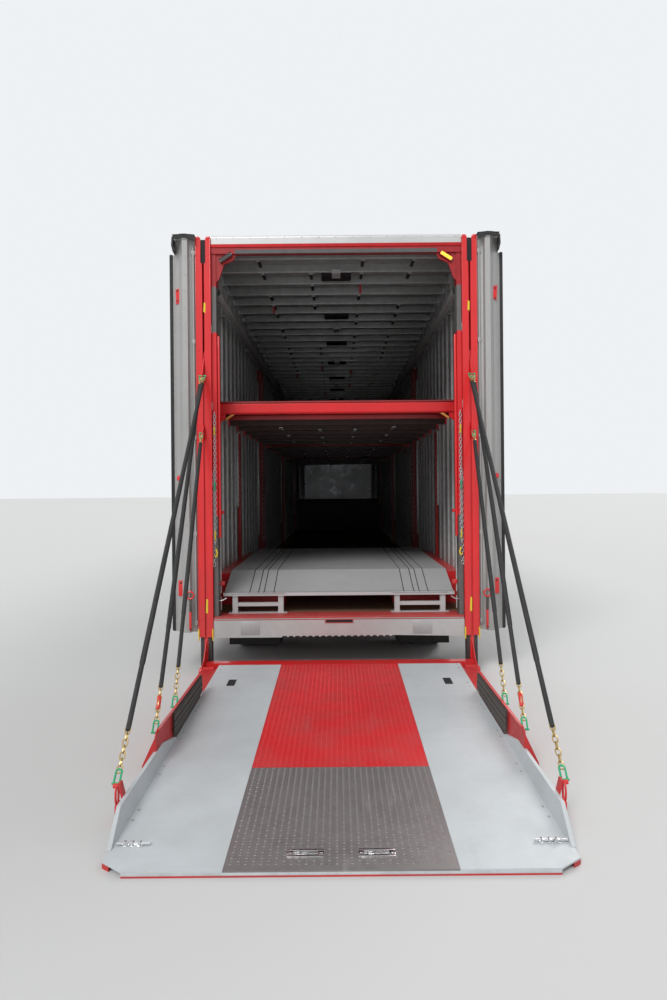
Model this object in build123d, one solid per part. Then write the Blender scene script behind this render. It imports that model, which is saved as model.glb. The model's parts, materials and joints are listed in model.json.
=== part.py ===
from build123d import *
import os

os.makedirs("parts", exist_ok=True)

# Working frame in millimetres: X to the vehicle's right, Y forward, Z up, ground at Z 0.
# While it is drawn, Y is 0 at the rear face of the lift masts. Each part is moved as it is
# kept, so that Y is 0 at the middle of the whole length.

# Semi-trailer body
BODY_WIDTH = 2600
BODY_TOP = 4090
BODY_LENGTH = 16150
REAR_FRAME_DEPTH = 150
WALL_THICK = 40
WALL_SKIN = 22
WALL_BOTTOM = 330
RIB_WIDTH = 60
RIB_PITCH = 305
ROOF_SKIN = 25
BOW_HEIGHT = 75
BOW_WIDTH = 55
BOW_PITCH = 406
BOWS_PER_LAMP = 6
LAMP_LENGTH = 180
LAMP_WIDTH = 90
LAMP_HEIGHT = 36
TOP_RAIL_HEIGHT = 120
NOSE_RADIUS = 220
AWNING_RADIUS = 36
AWNING_INSET = 150
AWNING_Z = 3600
FLOOR_TOP = 520
FLOOR_THICK = 40
FRAME_DEPTH = 150
MAIN_RAIL_X = 420
MAIN_RAIL_WIDTH = 90
BEAM_PLATE = 14
CROSS_PITCH = 900
CROSS_WIDTH = 80

# Raised front of the trailer, over the fifth wheel
NECK_LENGTH = 3000
NECK_UNDERSIDE = 1225
NECK_THICK = 120
KINGPIN_SETBACK = 914
KINGPIN_RADIUS = 25.4
KINGPIN_LENGTH = 84
KINGPIN_FLANGE = 36
COUPLER_THICK = 12
COUPLER_HALF = 480

# Trailer axles and twin wheels
TRAILER_AXLE_REAR = 1180
TRAILER_AXLE_PITCH = 1250
TRAILER_TYRE_RADIUS = 400
TRAILER_RIM_RADIUS = 225
TRAILER_TYRE_WIDTH = 235
TRAILER_TWIN_PITCH = 265
TRAILER_WHEEL_INSET = 430
AXLE_BEAM_Z = 240
AXLE_HUB_RADIUS = 64
SPINDLE_RADIUS = 44
WHEEL_BORE_CLEARANCE = 0.3
WHEEL_BOX_TOP = 845
WHEEL_BOX_PLATE = 6
WHEEL_BOX_CLEARANCE = 70
WHEEL_ARCH_RADIUS = 160

# Rear frame, threshold and lift masts
SILL_BOTTOM = 327
SILL_DEPTH = 250
SILL_NOTCH_PITCH = 60
SILL_NOTCH_DEPTH = 14
SILL_HANDLE_HALF = 126
HEADER_HEIGHT = 110
RED_HEADER_HEIGHT = 55
JAMB_WIDTH = 42
MAST_WIDTH = 140
MAST_DEPTH = 110
MAST_WALL = 12
MAST_INSET = 55
MAST_BOTTOM = 335
MAST_TOP = 4070
MAST_SLOT = 18
MAST_NOTCH_WIDTH = 46
MAST_NOTCH_HEIGHT = 240
MAST_GUIDE = 9
SLIDE_CLEARANCE = 6
SLIDE_BOTTOM = 25
SLIDE_TOP = 3000
SLIDE_TUBE_WIDTH = 34
SLIDE_PAD_HEIGHTS = (380, 1600, 2860)
FIN_THICK = 8
UPPER_ANCHOR_Z = 2770
LOWER_ANCHOR_Z = 2240
ANCHOR_Y = -62

# Folding platform
PIVOT_Y = -200
PIVOT_Z = 70
PIVOT_RADIUS = 16
PIVOT_BOSS = 34
DECK_MAST_GAP = 160
DECK_NEAR_Y = -215
DECK_TIP_Y = -3290
DECK_NEAR_TOP = 130
DECK_TIP_TOP = 30
DECK_SKIN = 8
DECK_CORNER_X = 110
DECK_CORNER_Y = 80
TREAD_HALF_WIDTH = 525
TREAD_RED_LENGTH = 2065
HANDLE_SLOT = (126, 34)
HANDLE_X = 165
DECK_SLOT = (70, 46)
CURB_THICK = 20
CURB_BASE_INSET = 23
CURB_LEAN = 0.2375
CURB_START_Y = -1840
CURB_FULL_Y = -2100
CURB_DROP_Y = -2910
CURB_END_Y = -3130
CURB_TOP = 148
RAIL_START_Y = -950
RAIL_END_Y = -2240
RAIL_TOP = 258
RAIL_RUBBER = 14
RAIL_PLATE = 8

# Stays of the platform: sleeves over chain, with a shackle at each end
STAY_RADIUS = 17
STAY_END_RADIUS = 8
CHAIN_LENGTH_TOP = 130
CHAIN_LENGTH_FOOT = 300
LINK_PITCH = 34
LINK_WIDTH = 30
LINK_THICK = 9
STAY_POST_Y = -2790
STAY_POST_THICK = 12
STAY_POST_TOP = 208

# Upper deck sections between posts on the walls
UPPER_DECK_TOP = 2570
UPPER_DECK_INSET = 135
UPPER_DECK_EDGE = 115
UPPER_DECK_BEAM = 60
UPPER_DECK_START = 330
UPPER_DECK_LENGTH = 4150
UPPER_DECK_GAP = 60
POST_WIDTH = 90
POST_DEPTH = 62
POST_WALL = 8
POST_TOP = 3600
POST_SLOT = 44
POST_INSET = 120
SHOE_CLEARANCE = 0.3

# Lower deck over the wheel boxes, with a lower entry at the rear
LOWER_DECK_TOP = 875
LOWER_DECK_THICK = 30
ENTRY_TOP = 720
ENTRY_FLAT = 90
LOWER_DECK_INSET = 190
LOWER_DECK_START = 170
LOWER_DECK_END = 3200
RAMP_LENGTH = 1300
STAND_WIDTH = 50
STAND_RUNG = 35

# Rear doors folded back along the sides, in two leaves each
DOOR_WING_WIDTH = 245
DOOR_THICK = 30
DOOR_BOTTOM = 385
DOOR_TOP = 4045
DOOR_LEAF_WIDTH = 1150
DOOR_LEAF_DROP = 120
DOOR_CAP_HEIGHT = 40
DOOR_RIB_PITCH = 180
DOOR_RIB_DEPTH = 10

# Side doors
SIDE_DOOR_START = 9300
SIDE_DOOR_WIDTH = 960
SIDE_DOOR_BOTTOM = 560
SIDE_DOOR_HEIGHT = 1900
SIDE_DOOR_GAP = 8
HINGE_RADIUS = 9
HINGE_HEIGHT = 90
HINGE_LEAF = 60

# Tractor, measured back from the front of its bumper and drawn with that front at Y 0
FIFTH_WHEEL_BACK = 7050
FIFTH_WHEEL_RADIUS = 500
FRONT_AXLE_BACK = 1200
TANDEM_BACK = 7300
TANDEM_PITCH = 1320
FRAME_BACK = 8620
FRAME_FRONT_BACK = 200
CHASSIS_RAIL_X = 420
CHASSIS_RAIL_WIDTH = 75
CHASSIS_RAIL_WEB = 10
CHASSIS_RAIL_BOTTOM = 800
CHASSIS_RAIL_TOP = 1060
CHASSIS_CROSS_WIDTH = 80
TYRE_RADIUS = 520
RIM_RADIUS = 290
FRONT_TYRE_WIDTH = 295
DRIVE_TYRE_WIDTH = 275
DRIVE_TWIN_PITCH = 335
FRONT_WHEEL_X = 1045
DRIVE_WHEEL_X = 925
STEER_PIN_X = 900
STEER_PIN_RADIUS = 20
STEER_EYE_RADIUS = 42
STEER_EYE_HALF = 55
FORK_THICK = 30
CAB_FRONT_BACK = 1960
CAB_LENGTH = 3390
CAB_HALF_WIDTH = 1120
CAB_WALL = 45
CAB_BOTTOM = 1075
CAB_FLOOR = 1135
CAB_TOP = 3900
CAB_EDGE_RADIUS = 90
CAB_DOOR_WIDTH = 1070
CAB_DOOR_TOP = 2690
WINDOW_LOW = 1830
COWL_TOP = 1930
SCREEN_TOP = 2770
SCREEN_RAKE = 540
MIRROR_REACH = 250
BONNET_FRONT_BACK = 150
BONNET_FRONT_HALF = 520
BONNET_REAR_HALF = 960
BONNET_HINGE_BACK = 60
BONNET_HINGE_Z = 720
BONNET_SKIN = 16
BONNET_PIN_RADIUS = 15
FENDER_HALF = 1215
FENDER_TOP = 1215
FENDER_BOTTOM = 720
FENDER_GAP = 110
GRILLE_HALF = 430
GRILLE_LOW = 830
GRILLE_HIGH = 1470
GRILLE_BARS = 10
HEADLAMP_LOW = 880
HEADLAMP_HIGH = 1020
BUMPER_HALF = 1200
BUMPER_SKIN = 18
BUMPER_TOP = 650
BUMPER_BOTTOM = 340
BUMPER_DEPTH = 330
BUMPER_CORNER = 260
TANK_X = 860
TANK_Z = 660
TANK_RADIUS = 310
TANK_START_BACK = 3250
TANK_LENGTH = 1450
STACK_X = 930
STACK_RADIUS = 75
STACK_PIPE_RADIUS = 60

# Running clearances
CONTACT_GAP = 0.3
MOVING_GAP = 6

HALF_BODY = BODY_WIDTH / 2
INNER_WALL = HALF_BODY - WALL_THICK
TRAILER_WHEEL_X = HALF_BODY - TRAILER_WHEEL_INSET
MAST_X = HALF_BODY - MAST_INSET
DECK_HALF_WIDTH = MAST_X - DECK_MAST_GAP
UPPER_DECK_HALF_WIDTH = HALF_BODY - UPPER_DECK_INSET
LOWER_DECK_HALF_WIDTH = HALF_BODY - LOWER_DECK_INSET
KINGPIN_Y = BODY_LENGTH - KINGPIN_SETBACK
NECK_Y = BODY_LENGTH - NECK_LENGTH
BUMPER_Y = KINGPIN_Y + FIFTH_WHEEL_BACK
CAB_BACK_BACK = CAB_FRONT_BACK + CAB_LENGTH
MIDDLE_Y = (BUMPER_Y + DECK_TIP_Y) / 2
SIDES = (("left", -1), ("right", 1))


# Builders of plain forms
def block(x_span, y_span, z_span):
    sizes = [b - a for a, b in (x_span, y_span, z_span)]
    middle = [(a + b) / 2 for a, b in (x_span, y_span, z_span)]
    return Pos(*middle) * Box(*sizes)


def prism(points, along):
    # A flat outline of 3-D points, pushed along a vector
    outline = Wire.make_polygon([Vector(*p) for p in points], close=True)
    return Solid.extrude(Face(outline), Vector(*along))


def side_prism(outline, x_start, x_end):
    # The outline's columns are y, z
    return prism([(x_start, y, z) for y, z in outline], (x_end - x_start, 0, 0))


def plan_prism(outline, z_start, z_end):
    # The outline's columns are x, y
    return prism([(x, y, z_start) for x, y in outline], (0, 0, z_end - z_start))


def front_prism(outline, y_start, y_end):
    # The outline's columns are x, z
    return prism([(x, y_start, z) for x, z in outline], (0, y_end - y_start, 0))


def rounded_face(rows):
    # A flat face in the XY plane; the columns are x, y, corner radius
    face = Face(Wire.make_polygon([Vector(x, y, 0) for x, y, _ in rows], close=True))
    for x, y, radius in rows:
        if radius:
            corner = face.vertices().sort_by_distance((x, y, 0))[0]
            face = face.fillet_2d(radius, [corner])
    return face


def side_form(rows, x_start, x_end):
    # The columns are y, z, corner radius
    plane = Plane(origin=(x_start, 0, 0), x_dir=(0, 1, 0), z_dir=(1, 0, 0))
    return extrude(plane * rounded_face(rows), amount=x_end - x_start, dir=(1, 0, 0)).solid()


def plan_form(rows, z_start, z_end):
    # The columns are x, y, corner radius
    return extrude(Pos(0, 0, z_start) * rounded_face(rows), amount=z_end - z_start, dir=(0, 0, 1)).solid()


def front_form(rows, y_start, y_end):
    # The columns are x, z, corner radius
    plane = Plane(origin=(0, y_start, 0), x_dir=(1, 0, 0), z_dir=(0, -1, 0))
    return extrude(plane * rounded_face(rows), amount=y_end - y_start, dir=(0, 1, 0)).solid()


def rod(radius, start, end):
    direction = Vector(*end) - Vector(*start)
    plane = Plane(origin=start, z_dir=direction)
    return Solid.make_cylinder(radius, direction.length, plane)


def both_sides(shape):
    return [shape, mirror(shape, Plane.YZ)]


def on_side(shape, side):
    # Shapes are drawn on the right, where X is positive
    return shape if side > 0 else mirror(shape, Plane.YZ)


def joined(shapes):
    shapes = list(shapes)
    return shapes[0].fuse(*shapes[1:]) if len(shapes) > 1 else shapes[0]


def cut(shape, tools):
    return shape.cut(*tools)


def common(shape, other):
    found = shape.intersect(other)
    return found[0] if isinstance(found, list) else found


def turned(outline, centre=(0, 0, 0)):
    # A ring about a line along X; the outline's columns are x, radius
    x, y, z = centre
    face = Face(Wire.make_polygon([Vector(x + a, y, z + r) for a, r in outline], close=True))
    return Solid.revolve(face, 360, Axis((x, y, z), (1, 0, 0)))


def turned_up(outline, centre):
    # A body about an upright line; the outline's columns are radius, z
    x, y, z = centre
    face = Face(Wire.make_polygon([Vector(x + r, y, z + h) for r, h in outline], close=True))
    return Solid.revolve(face, 360, Axis((x, y, z), (0, 0, 1)))


def i_beam(middle_x, width, y_span, z_span):
    # Rolled section along Y: two flanges and a web
    left, right = middle_x - width / 2, middle_x + width / 2
    web_left, web_right = middle_x - BEAM_PLATE / 2, middle_x + BEAM_PLATE / 2
    low, high = z_span
    outline = [
        (left, low),
        (right, low),
        (right, low + BEAM_PLATE),
        (web_right, low + BEAM_PLATE),
        (web_right, high - BEAM_PLATE),
        (right, high - BEAM_PLATE),
        (right, high),
        (left, high),
        (left, high - BEAM_PLATE),
        (web_left, high - BEAM_PLATE),
        (web_left, low + BEAM_PLATE),
        (left, low + BEAM_PLATE),
    ]
    return front_prism(outline, *y_span)


written = []


def keep(name, shapes):
    shapes = shapes if isinstance(shapes, (list, tuple)) else [shapes]
    solids = [solid for shape in shapes for solid in shape.solids()]
    placed = [Pos(0, -MIDDLE_Y, 0) * solid for solid in solids]
    whole = placed[0] if len(placed) == 1 else Compound(placed)
    export_step(whole, f"parts/{name}.step")
    written.append(name)


# Trailer floor: boards over the low part and over the raised neck, open over the wheels
trailer_axles_y = [TRAILER_AXLE_REAR + i * TRAILER_AXLE_PITCH for i in range(2)]
well_start = trailer_axles_y[0] - TRAILER_TYRE_RADIUS - WHEEL_BOX_CLEARANCE
well_end = trailer_axles_y[-1] + TRAILER_TYRE_RADIUS + WHEEL_BOX_CLEARANCE
twin_half = (TRAILER_TWIN_PITCH + TRAILER_TYRE_WIDTH) / 2
well_inner = TRAILER_WHEEL_X - twin_half - WHEEL_BOX_CLEARANCE + 15
frame_top = FLOOR_TOP - FLOOR_THICK
frame_bottom = frame_top - FRAME_DEPTH
neck_top = NECK_UNDERSIDE + NECK_THICK
floor_low = block((-INNER_WALL, INNER_WALL), (SILL_DEPTH, NECK_Y), (frame_top, FLOOR_TOP))
wells = both_sides(
    block((well_inner, INNER_WALL + 1), (well_start, well_end), (0, FLOOR_TOP + 1))
)
floor_neck = block(
    (-INNER_WALL, INNER_WALL),
    (NECK_Y, BODY_LENGTH - NOSE_RADIUS),
    (neck_top, neck_top + FLOOR_THICK),
)
keep("trailer_floor", [cut(floor_low, wells), floor_neck])

# Chassis under the floor: two rolled rails with cross members, up to the bulkhead at the step
rail_span = (SILL_DEPTH, NECK_Y)
rails = both_sides(i_beam(MAIN_RAIL_X, MAIN_RAIL_WIDTH, rail_span, (frame_bottom, frame_top)))
cross_low = frame_bottom + BEAM_PLATE
cross_starts = [well_end + i * CROSS_PITCH for i in range(int((NECK_Y - well_end) / CROSS_PITCH))]
cross_members = [
    block((-INNER_WALL, INNER_WALL), (y, y + CROSS_WIDTH), (cross_low, frame_top))
    for y in [SILL_DEPTH] + cross_starts
]
bulkhead_thick = 60
bulkhead = block((-INNER_WALL, INNER_WALL), (NECK_Y, NECK_Y + bulkhead_thick), (frame_bottom, neck_top))
bulkhead_foot = block(
    (-INNER_WALL, INNER_WALL),
    (NECK_Y - bulkhead_thick, NECK_Y),
    (frame_bottom, frame_top),
)
keep("trailer_chassis", joined(rails + cross_members + [bulkhead, bulkhead_foot]))

# Neck frame with the coupler plate and its kingpin, seated over the fifth wheel
coupler_bottom = NECK_UNDERSIDE - COUPLER_THICK
neck_span = (NECK_Y + bulkhead_thick + CONTACT_GAP, BODY_LENGTH - NOSE_RADIUS)
neck_rails = both_sides(i_beam(MAIN_RAIL_X, MAIN_RAIL_WIDTH, neck_span, (NECK_UNDERSIDE, neck_top)))
neck_cross_starts = (NECK_Y + NECK_LENGTH / 4, KINGPIN_Y - CROSS_WIDTH / 2, neck_span[1] - CROSS_WIDTH)
neck_crosses = [
    block((-INNER_WALL, INNER_WALL), (y, y + CROSS_WIDTH), (NECK_UNDERSIDE + BEAM_PLATE, neck_top))
    for y in neck_cross_starts
]
coupler = block(
    (-COUPLER_HALF, COUPLER_HALF),
    (KINGPIN_Y - COUPLER_HALF, KINGPIN_Y + COUPLER_HALF),
    (coupler_bottom, NECK_UNDERSIDE),
)
kingpin_rows = [
    # radius, height under the plate
    (0, 0),
    (KINGPIN_FLANGE, 0),
    (KINGPIN_FLANGE, -12),
    (KINGPIN_RADIUS, -20),
    (KINGPIN_RADIUS, 22 - KINGPIN_LENGTH),
    (KINGPIN_FLANGE, 18 - KINGPIN_LENGTH),
    (KINGPIN_FLANGE, -KINGPIN_LENGTH),
    (0, -KINGPIN_LENGTH),
]
kingpin = turned_up(kingpin_rows, (0, KINGPIN_Y, coupler_bottom))
keep("coupler_plate", joined(neck_rails + neck_crosses + [coupler, kingpin]))

# Side walls: smooth skin outside, upright ribs inside, open at the wheels and at the side doors
wall_front = BODY_LENGTH - NOSE_RADIUS
side_door_end = SIDE_DOOR_START + SIDE_DOOR_WIDTH
skin_inner = HALF_BODY - WALL_SKIN
rib_slant = 14


def wall_plan():
    outline = [(HALF_BODY, REAR_FRAME_DEPTH), (HALF_BODY, wall_front), (skin_inner, wall_front)]
    count = int((wall_front - REAR_FRAME_DEPTH - RIB_WIDTH) / RIB_PITCH)
    for i in reversed(range(count)):
        start = REAR_FRAME_DEPTH + RIB_WIDTH + i * RIB_PITCH
        end = start + RIB_WIDTH
        outline += [
            (skin_inner, end),
            (INNER_WALL, end - rib_slant),
            (INNER_WALL, start + rib_slant),
            (skin_inner, start),
        ]
    outline.append((skin_inner, REAR_FRAME_DEPTH))
    return outline


arch = block((0, HALF_BODY + 50), (well_start + 20, well_end - 20), (0, WHEEL_BOX_TOP - 45))
arch = fillet(arch.edges().filter_by(Axis.X).group_by(Axis.Z)[-1], WHEEL_ARCH_RADIUS)
under_neck = block((0, HALF_BODY + 50), (NECK_Y + bulkhead_thick, BODY_LENGTH), (0, NECK_UNDERSIDE))
side_door_top = SIDE_DOOR_BOTTOM + SIDE_DOOR_HEIGHT
door_hole = block(
    (0, HALF_BODY + 50), (SIDE_DOOR_START, side_door_end), (SIDE_DOOR_BOTTOM, side_door_top)
)
wall_height = (WALL_BOTTOM, BODY_TOP - TOP_RAIL_HEIGHT)
wall_right = cut(plan_prism(wall_plan(), *wall_height), [arch, under_neck, door_hole])

# Rolled cover tube along the top of each wall, on brackets
awning_x = HALF_BODY - AWNING_INSET
awning_tube = rod(
    AWNING_RADIUS, (awning_x, REAR_FRAME_DEPTH, AWNING_Z), (awning_x, NECK_Y, AWNING_Z)
)
bracket_half = 12
awning_brackets = [
    block(
        (awning_x, skin_inner),
        (y - bracket_half, y + bracket_half),
        (AWNING_Z + bracket_half, AWNING_Z + 3 * bracket_half),
    )
    for y in [REAR_FRAME_DEPTH + (2 * i + 1) * NECK_Y / 14 for i in range(7)]
]
awning = cut(joined([awning_tube] + awning_brackets), [wall_right])

# Side door on each wall, hinged at its front edge
hinge_x = HALF_BODY + HINGE_RADIUS + 5
side_door_hinge_y = side_door_end - SIDE_DOOR_GAP
door_rows = [
    # y, z, corner radius
    (SIDE_DOOR_START + SIDE_DOOR_GAP, SIDE_DOOR_BOTTOM + SIDE_DOOR_GAP, 0),
    (side_door_hinge_y, SIDE_DOOR_BOTTOM + SIDE_DOOR_GAP, 0),
    (side_door_hinge_y, side_door_top - SIDE_DOOR_GAP, 0),
    (SIDE_DOOR_START + SIDE_DOOR_GAP, side_door_top - SIDE_DOOR_GAP, 0),
]
door_panel = side_form(door_rows, skin_inner, HALF_BODY)


def hinge_half(axis_x, axis_y, face_x, toward, z_start, z_end):
    # Knuckle with its leaf lying on the panel's face; toward is -1 back or 1 forward
    leaf_y = sorted((axis_y, axis_y + toward * HINGE_LEAF))
    return joined(
        [
            rod(HINGE_RADIUS, (axis_x, axis_y, z_start), (axis_x, axis_y, z_end)),
            block((face_x, axis_x), leaf_y, (z_start, z_end)),
        ]
    )


side_door_hinge_zs = [SIDE_DOOR_BOTTOM + SIDE_DOOR_HEIGHT * share for share in (0.1, 0.47, 0.84)]
side_door_hinges = [
    hinge_half(hinge_x, side_door_hinge_y, HALF_BODY, -1, z, z + HINGE_HEIGHT) for z in side_door_hinge_zs
]
wall_hinges = [
    hinge_half(
        hinge_x,
        side_door_hinge_y,
        HALF_BODY,
        1,
        z + HINGE_HEIGHT + CONTACT_GAP,
        z + 1.5 * HINGE_HEIGHT,
    )
    for z in side_door_hinge_zs
]
for side_name, side in SIDES:
    keep(f"wall_{side_name}", [on_side(shape, side) for shape in (joined([wall_right] + wall_hinges), awning)])
handle_z = SIDE_DOOR_BOTTOM + SIDE_DOOR_HEIGHT / 2
side_door_handle = block(
    (HALF_BODY, HALF_BODY + 22), (SIDE_DOOR_START + 70, SIDE_DOOR_START + 230), (
        handle_z - 20,
        handle_z + 20,
    )
)
side_door_right = joined([door_panel, side_door_handle] + side_door_hinges)
for side_name, side in SIDES:
    keep(f"side_door_{side_name}", on_side(side_door_right, side))

# Roof: top rails, skin and cross bows in one profile seen from the side, with lamps under bows
bow_low = BODY_TOP - ROOF_SKIN - BOW_HEIGHT
bow_slant = 12
first_bow = REAR_FRAME_DEPTH + BOW_PITCH / 2
bow_count = int((wall_front - first_bow - BOW_WIDTH) / BOW_PITCH) + 1
bow_starts = [first_bow + i * BOW_PITCH for i in range(bow_count)]
roof_outline = [(REAR_FRAME_DEPTH, BODY_TOP), (wall_front, BODY_TOP), (wall_front, BODY_TOP - ROOF_SKIN)]
for start in reversed(bow_starts):
    roof_outline += [
        (start + BOW_WIDTH, BODY_TOP - ROOF_SKIN),
        (start + BOW_WIDTH - bow_slant, bow_low),
        (start + bow_slant, bow_low),
        (start, BODY_TOP - ROOF_SKIN),
    ]
roof_outline.append((REAR_FRAME_DEPTH, BODY_TOP - ROOF_SKIN))
roof = side_prism(roof_outline, -HALF_BODY + 20, HALF_BODY - 20)
rail_bottom = BODY_TOP - TOP_RAIL_HEIGHT
top_rail = front_form(
    [
        # x, z, corner radius
        (INNER_WALL - WALL_THICK, BODY_TOP, 0),
        (HALF_BODY, BODY_TOP, 25),
        (HALF_BODY, rail_bottom, 0),
        (INNER_WALL, rail_bottom, 0),
        (INNER_WALL, BODY_TOP - 45, 0),
        (INNER_WALL - WALL_THICK, BODY_TOP - 45, 0),
    ],
    REAR_FRAME_DEPTH,
    wall_front,
)
roof_lamps = [
    block(
        (-LAMP_WIDTH / 2, LAMP_WIDTH / 2),
        (y + BOW_WIDTH / 2 - LAMP_LENGTH / 2, y + BOW_WIDTH / 2 + LAMP_LENGTH / 2),
        (bow_low - LAMP_HEIGHT, bow_low + 1),
    )
    for y in bow_starts[1::BOWS_PER_LAMP]
]
keep("roof", joined([roof] + both_sides(top_rail) + roof_lamps))

# Nose with rounded upright corners
nose_depth = 2 * NOSE_RADIUS
nose_outer = Pos(0, BODY_LENGTH - nose_depth, 0) * extrude(
    RectangleRounded(BODY_WIDTH, 2 * nose_depth, NOSE_RADIUS), amount=BODY_TOP - NECK_UNDERSIDE
)
nose_inner = Pos(0, BODY_LENGTH - nose_depth, 0) * extrude(
    RectangleRounded(
        BODY_WIDTH - 2 * WALL_THICK, 2 * nose_depth - 2 * WALL_THICK, NOSE_RADIUS - WALL_THICK
    ),
    amount=BODY_TOP - NECK_UNDERSIDE - ROOF_SKIN,
)
nose_rear = block((-HALF_BODY, HALF_BODY), (BODY_LENGTH - 3 * nose_depth, wall_front), (0, BODY_TOP))
keep("nose_panel", Pos(0, 0, NECK_UNDERSIDE) * cut(nose_outer, [nose_inner, nose_rear]))

# Rear frame: corner posts, header, and threshold with a notched lower edge
mast_inner = MAST_X - MAST_WIDTH / 2
opening_half = mast_inner - 3
header_low = BODY_TOP - HEADER_HEIGHT
frame_face = MAST_DEPTH + CONTACT_GAP
post_outer = block((mast_inner, HALF_BODY), (frame_face, REAR_FRAME_DEPTH), (SILL_BOTTOM, header_low))
header = block((-HALF_BODY, HALF_BODY), (frame_face, REAR_FRAME_DEPTH), (header_low, BODY_TOP + 5))
header_face = side_form(
    [
        # y, z, corner radius
        (12, header_low, 6),
        (frame_face, header_low, 0),
        (frame_face, BODY_TOP + 5, 0),
        (12, BODY_TOP + 5, 26),
    ],
    -opening_half,
    opening_half,
)
notch_count = int(opening_half / 2 / SILL_NOTCH_PITCH)
sill_outline = [(-opening_half, FLOOR_TOP), (-opening_half, SILL_BOTTOM)]
for i in range(-notch_count, notch_count):
    x = i * SILL_NOTCH_PITCH
    sill_outline += [
        (x, SILL_BOTTOM),
        (x + SILL_NOTCH_PITCH / 4, SILL_BOTTOM + SILL_NOTCH_DEPTH),
        (x + 3 * SILL_NOTCH_PITCH / 4, SILL_BOTTOM + SILL_NOTCH_DEPTH),
    ]
sill_outline += [(opening_half, SILL_BOTTOM), (opening_half, FLOOR_TOP)]
sill_face_thick = 30
sill_face = front_prism(sill_outline, 4, 4 + sill_face_thick)
sill_body = block(
    (-opening_half, opening_half), (4 + sill_face_thick, SILL_DEPTH), (
        SILL_BOTTOM + SILL_NOTCH_DEPTH,
        FLOOR_TOP,
    )
)
sill_handle = front_form(
    [
        # x, z, corner radius
        (-SILL_HANDLE_HALF, FLOOR_TOP - 58, 11),
        (SILL_HANDLE_HALF, FLOOR_TOP - 58, 11),
        (SILL_HANDLE_HALF, FLOOR_TOP - 32, 11),
        (-SILL_HANDLE_HALF, FLOOR_TOP - 32, 11),
    ],
    0,
    4 + sill_face_thick,
)
sill = cut(joined([sill_face, sill_body]), [sill_handle])
keep("rear_frame", joined(both_sides(post_outer) + [header, header_face, sill]))

# Red inner jambs and header bar, with corner gussets that carry slanted lamps
jamb_inner = opening_half - JAMB_WIDTH
red_header_bottom = header_low - RED_HEADER_HEIGHT
jambs = both_sides(block((jamb_inner, opening_half), (30, REAR_FRAME_DEPTH), (FLOOR_TOP, header_low)))
red_header = block((-opening_half, opening_half), (20, 90), (red_header_bottom, header_low))
gusset_rows = [
    # x, z, corner radius
    (jamb_inner + 2, red_header_bottom + 2, 0),
    (jamb_inner - 190, red_header_bottom + 2, 0),
    (jamb_inner - 165, red_header_bottom - 55, 22),
    (jamb_inner - 75, red_header_bottom - 95, 30),
    (jamb_inner - 30, red_header_bottom - 230, 12),
    (jamb_inner + 2, red_header_bottom - 265, 0),
]
gusset = front_form(gusset_rows, 40, 60)
lamp_slant = 33
lamp_box = Pos(jamb_inner - 95, 32, red_header_bottom - 36) * Rot(0, lamp_slant, 0) * Box(126, 22, 38)
keep("rear_jambs", joined(jambs + [red_header] + both_sides(gusset) + both_sides(lamp_box)))

# Lift masts: slotted channels, open at the top for the slides, with guide strips at the foot
mast_outer_x = MAST_X + MAST_WIDTH / 2
mast_outer = block((mast_inner, mast_outer_x), (0, MAST_DEPTH), (MAST_BOTTOM, MAST_TOP))
mast_hollow = block(
    (mast_inner + MAST_WALL, mast_outer_x - MAST_WALL),
    (MAST_WALL, MAST_DEPTH - MAST_WALL),
    (0, MAST_TOP + 1),
)
mast_slot = block((MAST_X - MAST_SLOT / 2, MAST_X + MAST_SLOT / 2), (-1, MAST_WALL + 1), (0, MAST_TOP + 1))
notch_low = MAST_TOP - MAST_NOTCH_HEIGHT
notch_half = MAST_NOTCH_WIDTH / 2
mast_notch = front_form(
    [
        # x, z, corner radius
        (MAST_X - notch_half, notch_low, 12),
        (MAST_X + notch_half, notch_low, 12),
        (MAST_X + notch_half, MAST_TOP + 1, 0),
        (MAST_X - notch_half, MAST_TOP + 1, 0),
    ],
    -1,
    MAST_WALL + 1,
)
mast = cut(mast_outer, [mast_hollow, mast_slot, mast_notch])
guide_z = (MAST_BOTTOM - 30, MAST_BOTTOM + 75)
mast_guides = [
    block((mast_inner, mast_inner + MAST_GUIDE), (-MAST_GUIDE, 0), guide_z),
    block((mast_outer_x - MAST_GUIDE, mast_outer_x), (-MAST_GUIDE, 0), guide_z),
]
keep("lift_masts", both_sides(joined([mast] + mast_guides)))

# Slides inside the masts, with a red tube between two dark channels
slide_half = MAST_WIDTH / 2 - MAST_WALL - SLIDE_CLEARANCE
slide_y = (MAST_WALL + SLIDE_CLEARANCE, MAST_DEPTH - MAST_WALL - SLIDE_CLEARANCE)
tube_half = SLIDE_TUBE_WIDTH / 2
pad_height = 120
pad_inset = 12
channels = []
for side_sign in (-1, 1):
    x_span = sorted((MAST_X + side_sign * tube_half, MAST_X + side_sign * slide_half))
    pad_x = sorted(
        (
            MAST_X + side_sign * slide_half,
            MAST_X + side_sign * (slide_half + SLIDE_CLEARANCE - CONTACT_GAP),
        )
    )
    pads = [
        block(pad_x, (slide_y[0] + pad_inset, slide_y[1] - pad_inset), (z, z + pad_height))
        for z in SLIDE_PAD_HEIGHTS
    ]
    channels.append(joined([block(x_span, slide_y, (SLIDE_BOTTOM, SLIDE_TOP))] + pads))
keep("lift_slides", [s for c in channels for s in both_sides(c)])

# Lift carriage: tube, anchor fins, foot arms and the beam that joins the two sides
fin_x = (MAST_X - FIN_THICK / 2, MAST_X + FIN_THICK / 2)
tube = block((MAST_X - tube_half, MAST_X + tube_half), slide_y, (SLIDE_BOTTOM, SLIDE_TOP))
upper_anchor = (MAST_X, ANCHOR_Y, UPPER_ANCHOR_Z)
lower_anchor = (MAST_X, ANCHOR_Y, LOWER_ANCHOR_Z)
anchor_hole = 11


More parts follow.
